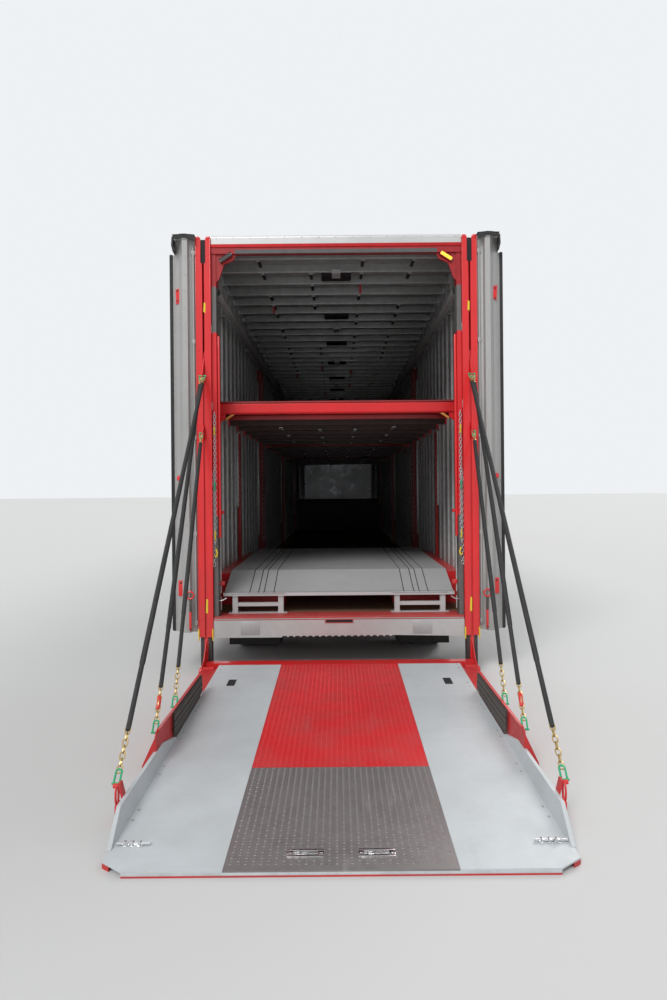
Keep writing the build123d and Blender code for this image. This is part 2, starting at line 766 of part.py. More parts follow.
def anchor_fin(anchor, height):
    x, y, z = anchor
    plate = side_form(
        [
            # y, z, corner radius
            (slide_y[0] + 2, z - 60, 0),
            (y - 22, z - 30, 16),
            (y - 22, z + 25, 16),
            (slide_y[0] + 2, z + height, 0),
        ],
        *fin_x,
    )
    return cut(plate, [rod(anchor_hole, (x - 20, y, z), (x + 20, y, z))])


arm_top = MAST_BOTTOM - 20
arm = side_form(
    [
        # y, z, corner radius
        (slide_y[0] + 2, SLIDE_BOTTOM, 0),
        (PIVOT_Y - PIVOT_BOSS, SLIDE_BOTTOM + 10, 20),
        (PIVOT_Y - PIVOT_BOSS, PIVOT_Z + PIVOT_BOSS, 20),
        (PIVOT_Y + 2 * PIVOT_BOSS, PIVOT_Z + 2 * PIVOT_BOSS, 30),
        (slide_y[0] + 2, arm_top, 0),
    ],
    *fin_x,
)
lug_x = (DECK_HALF_WIDTH + DECK_MAST_GAP / 3.5, fin_x[0] - MOVING_GAP)
boss_end = fin_x[1] + 14
pivot_boss = rod(PIVOT_BOSS, (fin_x[1], PIVOT_Y, PIVOT_Z), (boss_end, PIVOT_Y, PIVOT_Z))
pivot_pin = rod(PIVOT_RADIUS, (lug_x[0], PIVOT_Y, PIVOT_Z), (boss_end + 8, PIVOT_Y, PIVOT_Z))
beam = block((-MAST_X, MAST_X), (-95, -2 * MOVING_GAP), (SLIDE_BOTTOM, SLIDE_BOTTOM + 90))
carriage_side = joined(
    [tube, anchor_fin(upper_anchor, 190), anchor_fin(lower_anchor, 90), arm, pivot_boss, pivot_pin]
)
keep("lift_carriage", joined(both_sides(carriage_side) + [beam]))


# Platform
def deck_top(y):
    share = (y - DECK_NEAR_Y) / (DECK_TIP_Y - DECK_NEAR_Y)
    return DECK_NEAR_TOP + share * (DECK_TIP_TOP - DECK_NEAR_TOP)


def deck_plate(x_start, x_end, y_start, y_end, thick=DECK_SKIN):
    return side_prism(
        [
            (y_start, deck_top(y_start)),
            (y_end, deck_top(y_end)),
            (y_end, deck_top(y_end) - thick),
            (y_start, deck_top(y_start) - thick),
        ],
        x_start,
        x_end,
    )


def plate_slot(x, y, size):
    # Oblong opening through the deck's plates
    half_x, half_y = size[0] / 2, size[1] / 2
    radius = min(half_x, half_y) - 1
    rows = [
        (x - half_x, y - half_y, radius),
        (x + half_x, y - half_y, radius),
        (x + half_x, y + half_y, radius),
        (x - half_x, y + half_y, radius),
    ]
    return plan_form(rows, deck_top(y) - DECK_SKIN - 6, deck_top(y) + 6)


corner_x = DECK_HALF_WIDTH - DECK_CORNER_X
corner_cut = plan_prism(
    [
        (DECK_HALF_WIDTH + 60, DECK_TIP_Y - 10),
        (corner_x, DECK_TIP_Y - 10),
        (corner_x, DECK_TIP_Y),
        (DECK_HALF_WIDTH, DECK_TIP_Y + DECK_CORNER_Y),
        (DECK_HALF_WIDTH + 60, DECK_TIP_Y + DECK_CORNER_Y),
    ],
    -10,
    400,
)
tread_split = DECK_NEAR_Y - TREAD_RED_LENGTH
far_slot = plate_slot(DECK_HALF_WIDTH - 85, DECK_NEAR_Y - 235, DECK_SLOT)
panel = cut(
    deck_plate(TREAD_HALF_WIDTH + 1, DECK_HALF_WIDTH, DECK_NEAR_Y, DECK_TIP_Y), [corner_cut, far_slot]
)
keep("platform_deck", both_sides(panel))
red_tread = deck_plate(-TREAD_HALF_WIDTH, TREAD_HALF_WIDTH, DECK_NEAR_Y, tread_split + 1)
keep("platform_tread_red", cut(red_tread, [plate_slot(0, DECK_NEAR_Y - 45, (2 * SILL_HANDLE_HALF, 34))]))
steel_tread = deck_plate(-TREAD_HALF_WIDTH, TREAD_HALF_WIDTH, tread_split, DECK_TIP_Y)
handle_y = DECK_TIP_Y + 130
keep(
    "platform_tread_steel",
    cut(steel_tread, [plate_slot(x, handle_y, HANDLE_SLOT) for x in (-HANDLE_X, HANDLE_X)]),
)

# Platform frame under the plates
skin_bottom = [(y, deck_top(y) - DECK_SKIN) for y in (DECK_NEAR_Y, DECK_TIP_Y)]
ladder_width = 40


def frame_beam(x_start, x_end):
    return side_prism(
        skin_bottom + [(DECK_TIP_Y, 0), (DECK_NEAR_Y - 400, 0), (DECK_NEAR_Y, 30)],
        x_start,
        x_end,
    )


beams = []
for x_middle in (DECK_HALF_WIDTH - ladder_width / 2, TREAD_HALF_WIDTH, TREAD_HALF_WIDTH / 3):
    beams += both_sides(frame_beam(x_middle - ladder_width / 2, x_middle + ladder_width / 2))
beams = [cut(b, both_sides(corner_cut)) for b in beams]


def cross_bar(y_near, y_far, low, half_width):
    outline = [
        (y_near, deck_top(y_near) - DECK_SKIN),
        (y_far, deck_top(y_far) - DECK_SKIN),
        (y_far, low),
        (y_near, low),
    ]
    return side_prism(outline, -half_width, half_width)


cross_half = 25
cross_count = 5
cross_ys = [DECK_NEAR_Y + i * (DECK_TIP_Y - DECK_NEAR_Y) / cross_count for i in range(1, cross_count)]
crosses = [cross_bar(y + cross_half, y - cross_half, 12, DECK_HALF_WIDTH - 10) for y in cross_ys]
tip_bar = cross_bar(DECK_TIP_Y + 70, DECK_TIP_Y, 0, corner_x)
near_bar = cross_bar(DECK_NEAR_Y, DECK_NEAR_Y - 60, 30, DECK_HALF_WIDTH)
lug_half = 30
lug = joined(
    [
        rod(PIVOT_BOSS + 8, (lug_x[0], PIVOT_Y, PIVOT_Z), (lug_x[1], PIVOT_Y, PIVOT_Z)),
        block(lug_x, (PIVOT_Y - 200, PIVOT_Y), (PIVOT_Z - lug_half, PIVOT_Z + lug_half)),
        block(
            (DECK_HALF_WIDTH, lug_x[1]),
            (PIVOT_Y - 200, PIVOT_Y - 70),
            (PIVOT_Z - lug_half, PIVOT_Z + lug_half),
        ),
    ]
)
lug_bore = rod(
    PIVOT_RADIUS + CONTACT_GAP, (lug_x[0] - 1, PIVOT_Y, PIVOT_Z), (lug_x[1] + 1, PIVOT_Y, PIVOT_Z)
)
lug = cut(lug, [lug_bore])
side_gusset = plan_prism(
    [
        (DECK_HALF_WIDTH, DECK_NEAR_Y - 20),
        (lug_x[1], DECK_NEAR_Y - 60),
        (DECK_HALF_WIDTH, RAIL_START_Y),
    ],
    PIVOT_Z + 20,
    PIVOT_Z + 30,
)
rail_inner = DECK_HALF_WIDTH + 4 + RAIL_RUBBER
rail_outer = rail_inner + RAIL_PLATE
rail_plate = side_form(
    [
        # y, z, corner radius
        (RAIL_START_Y, 20, 0),
        (RAIL_END_Y, 10, 0),
        (RAIL_END_Y, RAIL_TOP, 30),
        (RAIL_START_Y, RAIL_TOP, 12),
    ],
    rail_inner,
    rail_outer,
)
rail_lip = block(
    (rail_inner - 6, rail_outer),
    (RAIL_END_Y + 34, RAIL_START_Y - 14),
    (RAIL_TOP - 7, RAIL_TOP),
)
rail_foot_plates = [
    block((DECK_HALF_WIDTH, rail_inner), (y, y + 60), (20, deck_top(y) - 15))
    for y in (RAIL_START_Y - 160, (RAIL_START_Y + RAIL_END_Y) / 2)
]
rail_bracket = front_prism(
    [(rail_outer, RAIL_TOP - 30), (rail_outer, 20), (rail_outer + 78, 20), (rail_outer + 78, 60)],
    RAIL_END_Y,
    RAIL_END_Y + 12,
)


def curb_face(z):
    # The curb leans outwards with height
    return DECK_HALF_WIDTH - CURB_BASE_INSET + CURB_LEAN * z


post_low = 20
post_face = CURB_THICK + CONTACT_GAP
stay_post = front_prism(
    [
        (curb_face(post_low) + post_face, post_low),
        (curb_face(post_low) + post_face + STAY_POST_THICK, post_low),
        (curb_face(STAY_POST_TOP) + post_face + STAY_POST_THICK, STAY_POST_TOP),
        (curb_face(STAY_POST_TOP) + post_face, STAY_POST_TOP),
    ],
    STAY_POST_Y - 22,
    STAY_POST_Y + 22,
)
platform_frame = joined(
    beams
    + [tip_bar, near_bar]
    + crosses
    + both_sides(joined([lug, side_gusset]))
    + both_sides(joined([rail_plate, rail_lip, rail_bracket] + rail_foot_plates))
)
keep("platform_frame", [platform_frame] + both_sides(stay_post))
rubber_top = RAIL_TOP - 14
rubber = side_prism(
    [
        (RAIL_START_Y, deck_top(RAIL_START_Y) + 2),
        (CURB_START_Y + 2, deck_top(CURB_START_Y) + 2),
        (CURB_START_Y + 2, rubber_top),
        (RAIL_START_Y, rubber_top),
    ],
    rail_inner - RAIL_RUBBER,
    rail_inner,
)
keep("platform_rubbers", both_sides(rubber))

# White curbs: folded plates that lean outwards, cut to their side outline
curb_section = [
    (curb_face(0), 0),
    (curb_face(0) + CURB_THICK, 0),
    (curb_face(2 * CURB_TOP) + CURB_THICK, 2 * CURB_TOP),
    (curb_face(2 * CURB_TOP), 2 * CURB_TOP),
]
curb_low = 12
curb_outline = [
    (CURB_START_Y, deck_top(CURB_START_Y) - DECK_SKIN),
    (CURB_START_Y, deck_top(CURB_START_Y) + 10),
    (CURB_FULL_Y, CURB_TOP),
    (CURB_DROP_Y, CURB_TOP - 6),
    (CURB_END_Y, DECK_TIP_TOP + 8),
    (CURB_END_Y, curb_low),
    (RAIL_END_Y - 10, curb_low),
]
curb = common(
    front_prism(curb_section, CURB_END_Y - 1, CURB_START_Y + 1),
    side_prism(curb_outline, DECK_HALF_WIDTH - 2 * CURB_BASE_INSET, DECK_HALF_WIDTH + 100),
)
plates_and_frame = side_prism(
    [(y, deck_top(y) + CONTACT_GAP) for y in (DECK_NEAR_Y, DECK_TIP_Y)] + [
        (DECK_TIP_Y, -10),
        (DECK_NEAR_Y, -10),
    ],
    0,
    DECK_HALF_WIDTH + CONTACT_GAP,
)
rail_space = block(
    (rail_inner - CONTACT_GAP, HALF_BODY),
    (RAIL_END_Y - CONTACT_GAP, CURB_START_Y + 1),
    (0, RAIL_TOP),
)
keep("platform_curbs", both_sides(cut(curb, [plates_and_frame, rail_space])))

# Stays: two from the upper anchor, one from the lower anchor, to the platform's side
stay_side = FIN_THICK / 2 + STAY_END_RADIUS + 5 * CONTACT_GAP
foot_z = STAY_POST_TOP - 20
stay_on_post = curb_face(STAY_POST_TOP) + post_face + STAY_POST_THICK + LINK_WIDTH / 2 + CONTACT_GAP
stay_on_rail = rail_outer + LINK_WIDTH / 2 + CONTACT_GAP
stay_table = (
    # anchor, side of the fin, end x, end y, end z
    (upper_anchor, -1, stay_on_post, STAY_POST_Y, foot_z),
    (upper_anchor, 1, stay_on_rail, RAIL_END_Y + 60, RAIL_TOP - 30),
    (lower_anchor, 1, stay_on_rail, RAIL_END_Y + 540, RAIL_TOP - 30),
)


def link_ring(half_length, half_width):
    # Flat ring of a link: cut corners outside, pointed ends inside
    corner = half_width / 2
    hollow_length, hollow_width = half_length - LINK_THICK, half_width - LINK_THICK
    outer = [
        (half_length, -corner),
        (half_length, corner),
        (half_length - corner, half_width),
        (corner - half_length, half_width),
        (-half_length, corner),
        (-half_length, -corner),
        (corner - half_length, -half_width),
        (half_length - corner, -half_width),
    ]
    inner = [
        (hollow_length, 0),
        (hollow_length - hollow_width, hollow_width),
        (hollow_width - hollow_length, hollow_width),
        (-hollow_length, 0),
        (hollow_width - hollow_length, -hollow_width),
        (hollow_length - hollow_width, -hollow_width),
    ]
    faces = [Face(Wire.make_polygon([Vector(x, y, 0) for x, y in rows], close=True)) for rows in (outer, inner)]
    return faces[0] - faces[1]


def chain(start, along, length):
    # Each link is turned a quarter turn from the one before and fused where they cross
    count = round(length / LINK_PITCH)
    ring = link_ring(LINK_PITCH / 2 + LINK_THICK - 1, LINK_WIDTH / 2)
    links = []
    for i in range(count):
        middle = start + along * (length * (i + 0.5) / count)
        plane = Plane(origin=middle, x_dir=along, z_dir=along.cross(Vector(1, 0, 0)))
        link = extrude(plane * Rot(90 * (i % 2), 0, 0) * ring, amount=LINK_THICK / 2, both=True)
        links.append(link.solid())
    return links


def stay(anchor, fin_side, end_x, end_y, end_z):
    top = Vector(anchor[0] + fin_side * stay_side, anchor[1], anchor[2])
    foot = Vector(end_x, end_y, end_z)
    along = (foot - top).normalized()
    sleeve_top = top + along * CHAIN_LENGTH_TOP
    sleeve_foot = foot - along * CHAIN_LENGTH_FOOT
    sleeve = rod(STAY_RADIUS, tuple(sleeve_top), tuple(sleeve_foot))
    shackle = rod(STAY_END_RADIUS, tuple(top), tuple(sleeve_top + along * STAY_RADIUS))
    links = chain(sleeve_foot, along, CHAIN_LENGTH_FOOT)
    return joined([sleeve, shackle] + links)


stays = [stay(*row) for row in stay_table]
keep("platform_stays", [s for one in stays for s in both_sides(one)])

# Rear doors folded open: a folded wing beside the mast and the ribbed main leaf along the side
wing_start = mast_outer_x + CONTACT_GAP
wing_end = wing_start + DOOR_WING_WIDTH
wing_table = (
    # share of the wing's width from the mast, y of its rear face
    (0, 30),
    (0.24, 12),
    (0.28, -34),
    (0.47, -38),
    (0.64, 16),
    (0.86, 52),
)
wing_face = [(wing_start + share * DOOR_WING_WIDTH, y) for share, y in wing_table]
wing_outline = wing_face + [(x, y + DOOR_THICK) for x, y in reversed(wing_face)]
wing = plan_prism(wing_outline, DOOR_BOTTOM, DOOR_TOP)
cap_overhang = 8
cap_outline = [(x, y - cap_overhang) for x, y in wing_face]
cap_outline += [(x, y + DOOR_THICK + cap_overhang) for x, y in reversed(wing_face)]
wing_cap = plan_prism(cap_outline, DOOR_TOP, DOOR_TOP + DOOR_CAP_HEIGHT)
leaf_top = DOOR_TOP - DOOR_LEAF_DROP
leaf_start_x, leaf_start_y = wing_face[-1]
leaf_return = plan_prism(
    [
        (leaf_start_x - 2, leaf_start_y),
        (wing_end, leaf_start_y + 8),
        (wing_end, leaf_start_y + 8 + DOOR_THICK),
        (leaf_start_x - 2, leaf_start_y + DOOR_THICK),
    ],
    DOOR_BOTTOM,
    leaf_top,
)
leaf_inner_x = wing_end - DOOR_THICK
leaf_y = (leaf_start_y + 8, leaf_start_y + 8 + DOOR_LEAF_WIDTH)
leaf_outline = [(leaf_inner_x, leaf_y[1]), (leaf_inner_x, leaf_y[0]), (wing_end, leaf_y[0])]
for i in range(int(DOOR_LEAF_WIDTH / DOOR_RIB_PITCH)):
    y = leaf_y[0] + DOOR_RIB_PITCH * (i + 0.4)
    leaf_outline += [
        (wing_end, y),
        (wing_end + DOOR_RIB_DEPTH, y + DOOR_RIB_DEPTH),
        (wing_end + DOOR_RIB_DEPTH, y + DOOR_RIB_PITCH / 2 - DOOR_RIB_DEPTH),
        (wing_end, y + DOOR_RIB_PITCH / 2),
    ]
leaf_outline.append((wing_end, leaf_y[1]))
leaf = plan_prism(leaf_outline, DOOR_BOTTOM, leaf_top)
for side_name, side in SIDES:
    keep(f"rear_door_{side_name}", on_side(joined([wing, wing_cap, leaf_return, leaf]), side))

# Deck posts on the walls: channels with their slot towards the load
deck_starts = [UPPER_DECK_START + i * (UPPER_DECK_LENGTH + UPPER_DECK_GAP) for i in range(3)]
post_x = (INNER_WALL - POST_DEPTH, INNER_WALL)
post_half = POST_WIDTH / 2
slot_half = POST_SLOT / 2


def deck_post(y):
    over_wheels = well_start < y < well_end
    z_span = (WHEEL_BOX_TOP if over_wheels else FLOOR_TOP, POST_TOP)
    half_section = [
        # x, distance from the post's middle plane
        (post_x[0], slot_half),
        (post_x[0] + POST_WALL, slot_half),
        (post_x[0] + POST_WALL, post_half - POST_WALL),
        (post_x[1] - POST_WALL, post_half - POST_WALL),
    ]
    outside = [(post_x[1], post_half), (post_x[0], post_half)]
    section = [(x, y + d) for x, d in outside + half_section]
    section += [(x, y - d) for x, d in reversed(outside + half_section)]
    return plan_prism(section, *z_span)


post_ys = [start + d for start in deck_starts for d in (POST_INSET, UPPER_DECK_LENGTH - POST_INSET)]
keep("deck_posts", [p for y in post_ys for p in both_sides(deck_post(y))])


# Upper deck sections: rounded end beams, side beams, runners, cross members and shoes
def upper_deck(y_start):
    y_end = y_start + UPPER_DECK_LENGTH
    half = UPPER_DECK_HALF_WIDTH
    top = UPPER_DECK_TOP
    low = top - UPPER_DECK_EDGE
    end_round = 22
    rear_beam = side_form(
        [(y_start, low, end_round), (y_start + UPPER_DECK_BEAM, low, 0), (
            y_start + UPPER_DECK_BEAM,
            top,
            0,
        ),
         (y_start, top, end_round)],
        -half,
        half,
    )
    front_beam = side_form(
        [(y_end - UPPER_DECK_BEAM, low, 0), (y_end, low, end_round), (y_end, top, end_round),
         (y_end - UPPER_DECK_BEAM, top, 0)],
        -half,
        half,
    )
    inside = (y_start + UPPER_DECK_BEAM, y_end - UPPER_DECK_BEAM)
    parts = [rear_beam, front_beam, block((-half, half), inside, (top - 30, top - 18))]
    parts += both_sides(block((half - UPPER_DECK_BEAM, half), inside, (low, top)))
    for share in (0.2, 0.55):
        x = share * half
        parts += both_sides(block((x - 25, x + 25), inside, (low, top - 30)))
    for i in range(1, 7):
        y = y_start + i * UPPER_DECK_LENGTH / 7
        parts.append(block((-half, half), (y - 30, y + 30), (low - 60, low)))
    for y in (y_start + POST_INSET, y_end - POST_INSET):
        shoe_half = slot_half - SHOE_CLEARANCE
        shoe_x = (half, post_x[0] + POST_WALL + 20)
        parts += both_sides(block(shoe_x, (y - shoe_half, y + shoe_half), (low, top - 20)))
    corner_plate = front_prism(
        [(half - 10, low), (half - 120, low), (half - 10, low - 80)], y_start + 12, y_start + 20
    )
    parts += both_sides(corner_plate)
    return joined(parts)


for deck_name, y_start in zip(("rear", "middle", "front"), deck_starts):
    keep(f"upper_deck_{deck_name}", upper_deck(y_start))

# Wheel boxes standing on the floor
box_inner = well_inner - WHEEL_BOX_PLATE
box_outside = block(
    (box_inner, INNER_WALL - 1),
    (well_start - WHEEL_BOX_PLATE, well_end + WHEEL_BOX_PLATE),
    (FLOOR_TOP, WHEEL_BOX_TOP),
)
box_inside = block((well_inner, INNER_WALL), (well_start, well_end), (0, WHEEL_BOX_TOP - WHEEL_BOX_PLATE))
keep("wheel_boxes", both_sides(cut(box_outside, [box_inside])))

# Lower deck: entry at the rear, level part over the wheel boxes, ramp to the floor
deck_low = LOWER_DECK_TOP - LOWER_DECK_THICK
entry_low = ENTRY_TOP - LOWER_DECK_THICK
entry_end = well_start - WHEEL_BOX_PLATE
ramp_end = LOWER_DECK_END + RAMP_LENGTH
lower_deck = side_prism(
    [
        (LOWER_DECK_START, ENTRY_TOP),
        (LOWER_DECK_START + ENTRY_FLAT, ENTRY_TOP),
        (entry_end, LOWER_DECK_TOP),
        (LOWER_DECK_END, LOWER_DECK_TOP),
        (ramp_end, FLOOR_TOP + 5),
        (ramp_end, FLOOR_TOP),
        (ramp_end - 80, FLOOR_TOP),
        (LOWER_DECK_END, deck_low),
        (entry_end, deck_low),
        (LOWER_DECK_START + ENTRY_FLAT, entry_low),
        (LOWER_DECK_START, entry_low),
    ],
    -LOWER_DECK_HALF_WIDTH,
    LOWER_DECK_HALF_WIDTH,
)
stand_outer = LOWER_DECK_HALF_WIDTH - 110
stand_posts = (0.56 * stand_outer, stand_outer)


def deck_stand(y, top):
    # Two posts with a rung and a foot plate, from the floor up to the deck
    rung_z = FLOOR_TOP + (top - FLOOR_TOP) / 2 - STAND_RUNG / 2
    posts = [
        block((x - STAND_WIDTH / 2, x + STAND_WIDTH / 2), (y, y + STAND_WIDTH), (FLOOR_TOP, top)) for x in stand_posts
    ]
    rung = block(stand_posts, (y + 5, y + STAND_WIDTH - 5), (rung_z, rung_z + STAND_RUNG))
    foot = block((stand_posts[0] - 60, stand_posts[1] + 60), (y - 10, y + 60), (FLOOR_TOP, FLOOR_TOP + 8))
    return joined(posts + [rung, foot])


stands = [deck_stand(LOWER_DECK_START + 20, entry_low), deck_stand(LOWER_DECK_END - 110, deck_low)]
keep("lower_deck", joined([lower_deck] + [piece for stand in stands for piece in both_sides(stand)]))

# Trailer axles: dropped beams under the low frame, arms up to the spindles, brake chambers behind
axle_z = TRAILER_TYRE_RADIUS
spindle_end = TRAILER_WHEEL_X + TRAILER_TWIN_PITCH / 2 + 60
arm_x = (TRAILER_WHEEL_X - twin_half - 60, TRAILER_WHEEL_X - twin_half - 20)
beam_half = 50
axle_parts = []
for y in trailer_axles_y:
    drop_beam = block(
        (-arm_x[1], arm_x[1]),
        (y - beam_half, y + beam_half),
        (AXLE_BEAM_Z - beam_half, AXLE_BEAM_Z + beam_half),
    )
    drop_arm = [
        block(arm_x, (y - beam_half, y + beam_half), (AXLE_BEAM_Z, axle_z)),
        rod(AXLE_HUB_RADIUS, (arm_x[0], y, axle_z), (arm_x[1], y, axle_z)),
        rod(SPINDLE_RADIUS, (arm_x[1], y, axle_z), (spindle_end, y, axle_z)),
        block((MAIN_RAIL_X - 40, MAIN_RAIL_X + 40), (y - 60, y + 60), (AXLE_BEAM_Z, frame_bottom)),
        rod(62, (MAIN_RAIL_X - 190, y - 60, AXLE_BEAM_Z), (MAIN_RAIL_X - 190, y - 210, AXLE_BEAM_Z)),
        rod(20, (MAIN_RAIL_X - 190, y - 60, AXLE_BEAM_Z), (MAIN_RAIL_X - 190, y, AXLE_BEAM_Z)),
    ]
    axle_parts.append(joined([drop_beam] + both_sides(joined(drop_arm))))
keep("trailer_axles", axle_parts)


# Wheels: turned tyres on rims, with a dished disc, hand holes and a bore for the spindle
def tyre(radius, width, middle_x, rim_radius):
    half = width / 2
    half_profile = [
        # distance from the middle, radius
        (half - 40, rim_radius),
        (half - 12, rim_radius + 18),
        (half, rim_radius + 0.45 * (radius - rim_radius)),
        (half - 6, rim_radius + 0.75 * (radius - rim_radius)),
        (half - 26, radius - 10),
        (half - 40, radius),
    ]
    outline = [(middle_x + d, r) for d, r in half_profile]
    outline += [(middle_x - d, r) for d, r in reversed(half_profile)]
    return turned(outline)


HUB_RADIUS = 140
HAND_HOLES = 10
HAND_HOLE_RADIUS = 22


def rim(rim_radius, x_start, x_end, disc_x, bore):
    lip = 14
    disc_half = 11
    hub_half = 58
    outline = [
        # x, radius
        (x_start, rim_radius),
        (x_end, rim_radius),
        (x_end, rim_radius - lip),
        (disc_x + disc_half + 40, rim_radius - 2 * lip),
        (disc_x + disc_half, rim_radius - 3 * lip),
        (disc_x + disc_half, HUB_RADIUS + 12),
        (disc_x + hub_half - 10, HUB_RADIUS - 30),
        (disc_x + hub_half, bore + 30),
        (disc_x + hub_half, bore),
        (disc_x - hub_half, bore),
        (disc_x - hub_half, HUB_RADIUS - 30),
        (disc_x - disc_half, HUB_RADIUS + 12),
        (disc_x - disc_half, rim_radius - 3 * lip),
        (disc_x - disc_half - 40, rim_radius - 2 * lip),
        (x_start, rim_radius - lip),
    ]
    hole_circle = (HUB_RADIUS + rim_radius - 2 * lip) / 2
    holes = [
        Rot(360 / HAND_HOLES * i, 0, 0)
        * rod(HAND_HOLE_RADIUS, (disc_x - 40, 0, hole_circle), (disc_x + 40, 0, hole_circle))
        for i in range(HAND_HOLES)
    ]
    return cut(turned(outline), holes)


def wheel(radius, width, rim_radius, twin_pitch, disc_x, bore):
    centres = (-twin_pitch / 2, twin_pitch / 2) if twin_pitch else (0,)
    reach = max(centres) + width / 2 - 40
    parts = [tyre(radius, width, x, rim_radius) for x in centres]
    return joined(parts + [rim(rim_radius, -reach, reach, disc_x, bore)])


bore_radius = SPINDLE_RADIUS + WHEEL_BORE_CLEARANCE
trailer_wheel = wheel(
    TRAILER_TYRE_RADIUS, TRAILER_TYRE_WIDTH, TRAILER_RIM_RADIUS, TRAILER_TWIN_PITCH, 0, bore_radius
)
for index, y in enumerate(trailer_axles_y):
    for side_name, side in SIDES:
        place = Pos(TRAILER_WHEEL_X, y, axle_z)
        keep(f"trailer_wheel_{('rear', 'front')[index]}_{side_name}", on_side(place * trailer_wheel, side))

# Landing legs in front of the step, wound up, with their gearbox, crank and braces
leg_x = (890, 1000)
leg_y = (NECK_Y + bulkhead_thick + CONTACT_GAP, NECK_Y + bulkhead_thick + 110)
leg_cross_y = leg_y[0] + 30
leg_split = 560
foot_top = 390
leg = joined(
    [
        block(leg_x, leg_y, (leg_split, NECK_UNDERSIDE)),
        block((leg_x[0] + 14, leg_x[1] - 14), (leg_y[0] + 14, leg_y[1] - 14), (foot_top, leg_split)),
        block((leg_x[0] - 50, leg_x[1] + 50), (leg_y[0], leg_y[1] + 40), (foot_top - 15, foot_top)),
        block((leg_x[1], leg_x[1] + 60), (leg_y[0] + 20, leg_y[1] - 20), (780, 920)),
    ]
)
leg_cross = rod(18, (-leg_x[0], leg_cross_y, 850), (leg_x[0], leg_cross_y, 850))
crank_x = leg_x[1] + 60
crank = joined(
    [
        rod(10, (crank_x, leg_cross_y, 850), (crank_x + 110, leg_cross_y, 850)),
        rod(10, (crank_x + 100, leg_cross_y, 860), (crank_x + 100, leg_cross_y, 640)),
        rod(12, (crank_x + 100, leg_cross_y, 650), (crank_x + 20, leg_cross_y, 650)),
    ]
)
keep("landing_legs", joined(both_sides(leg) + [leg_cross, crank]))

def back(distance):
    return -distance


def keep_tractor(name, shapes):
    # Moves what is drawn from the bumper's front to the tractor's place under the trailer
    shapes = shapes if isinstance(shapes, (list, tuple)) else [shapes]
    keep(name, [Pos(0, BUMPER_Y, 0) * shape for shape in shapes])


# Tractor frame: two channel rails, open inwards, with cross members
chassis_span = (back(FRAME_BACK), back(FRAME_FRONT_BACK))
chassis_inner = CHASSIS_RAIL_X - CHASSIS_RAIL_WIDTH / 2
chassis_outer = CHASSIS_RAIL_X + CHASSIS_RAIL_WIDTH / 2
chassis_web = chassis_outer - CHASSIS_RAIL_WEB
channel_outline = [
    (chassis_inner, CHASSIS_RAIL_BOTTOM),
    (chassis_outer, CHASSIS_RAIL_BOTTOM),
    (chassis_outer, CHASSIS_RAIL_TOP),
    (chassis_inner, CHASSIS_RAIL_TOP),
    (chassis_inner, CHASSIS_RAIL_TOP - CHASSIS_RAIL_WEB),
    (chassis_web, CHASSIS_RAIL_TOP - CHASSIS_RAIL_WEB),
    (chassis_web, CHASSIS_RAIL_BOTTOM + CHASSIS_RAIL_WEB),
    (chassis_inner, CHASSIS_RAIL_BOTTOM + CHASSIS_RAIL_WEB),
]
chassis_rails = both_sides(front_prism(channel_outline, *chassis_span))
chassis_cross_backs = (
    FRAME_FRONT_BACK + CHASSIS_CROSS_WIDTH,
    CAB_FRONT_BACK + CHASSIS_CROSS_WIDTH,
    TANK_START_BACK,
    TANK_START_BACK + TANK_LENGTH,
    FIFTH_WHEEL_BACK - 2 * FIFTH_WHEEL_RADIUS,
    TANDEM_BACK,
    FRAME_BACK - CHASSIS_CROSS_WIDTH,
)
chassis_crosses = [
    block(
        (-chassis_web - 1, chassis_web + 1),
        (back(d) - CHASSIS_CROSS_WIDTH / 2, back(d) + CHASSIS_CROSS_WIDTH / 2),
        (CHASSIS_RAIL_BOTTOM + 30, CHASSIS_RAIL_TOP - 30),
    )
    for d in chassis_cross_backs
]
keep_tractor("tractor_frame", joined(chassis_rails + chassis_crosses))

# Fifth wheel: plate with a throat for the kingpin, two ramps at its rear and feet on the rails
plate_y = back(FIFTH_WHEEL_BACK)
plate_top = coupler_bottom - CONTACT_GAP
plate_low = plate_top - 30
throat = KINGPIN_FLANGE + 8
throat_mouth = 190
throat_z = (plate_low - 5, plate_top + 5)
throat_outline = [
    (-throat, plate_y),
    (throat, plate_y),
    (throat_mouth, plate_y - FIFTH_WHEEL_RADIUS - 100),
    (-throat_mouth, plate_y - FIFTH_WHEEL_RADIUS - 100),
]
fifth_plate = cut(
    rod(FIFTH_WHEEL_RADIUS, (0, plate_y, plate_low), (0, plate_y, plate_top)),
    [
        rod(throat, (0, plate_y, throat_z[0]), (0, plate_y, throat_z[1])),
        plan_prism(throat_outline, *throat_z),
    ],
)
ramp_start_y = plate_y - FIFTH_WHEEL_RADIUS + 170
ramp_end_y = plate_y - FIFTH_WHEEL_RADIUS - 140
plate_ramp = side_prism(
    [
        (ramp_start_y, plate_top - 2),
        (ramp_start_y, plate_low),
        (ramp_end_y, plate_low - 85),
        (ramp_end_y, plate_low - 65),
    ],
    throat_mouth + 10,
    FIFTH_WHEEL_RADIUS - 120,
)
plate_foot = side_prism(
    [
        (plate_y - 220, CHASSIS_RAIL_TOP),
        (plate_y + 220, CHASSIS_RAIL_TOP),
        (plate_y + 110, plate_low),
        (plate_y - 110, plate_low),
    ],
    chassis_inner,
    chassis_outer,
)
keep_tractor("fifth_wheel_plate", joined([fifth_plate] + both_sides(plate_ramp) + both_sides(plate_foot)))

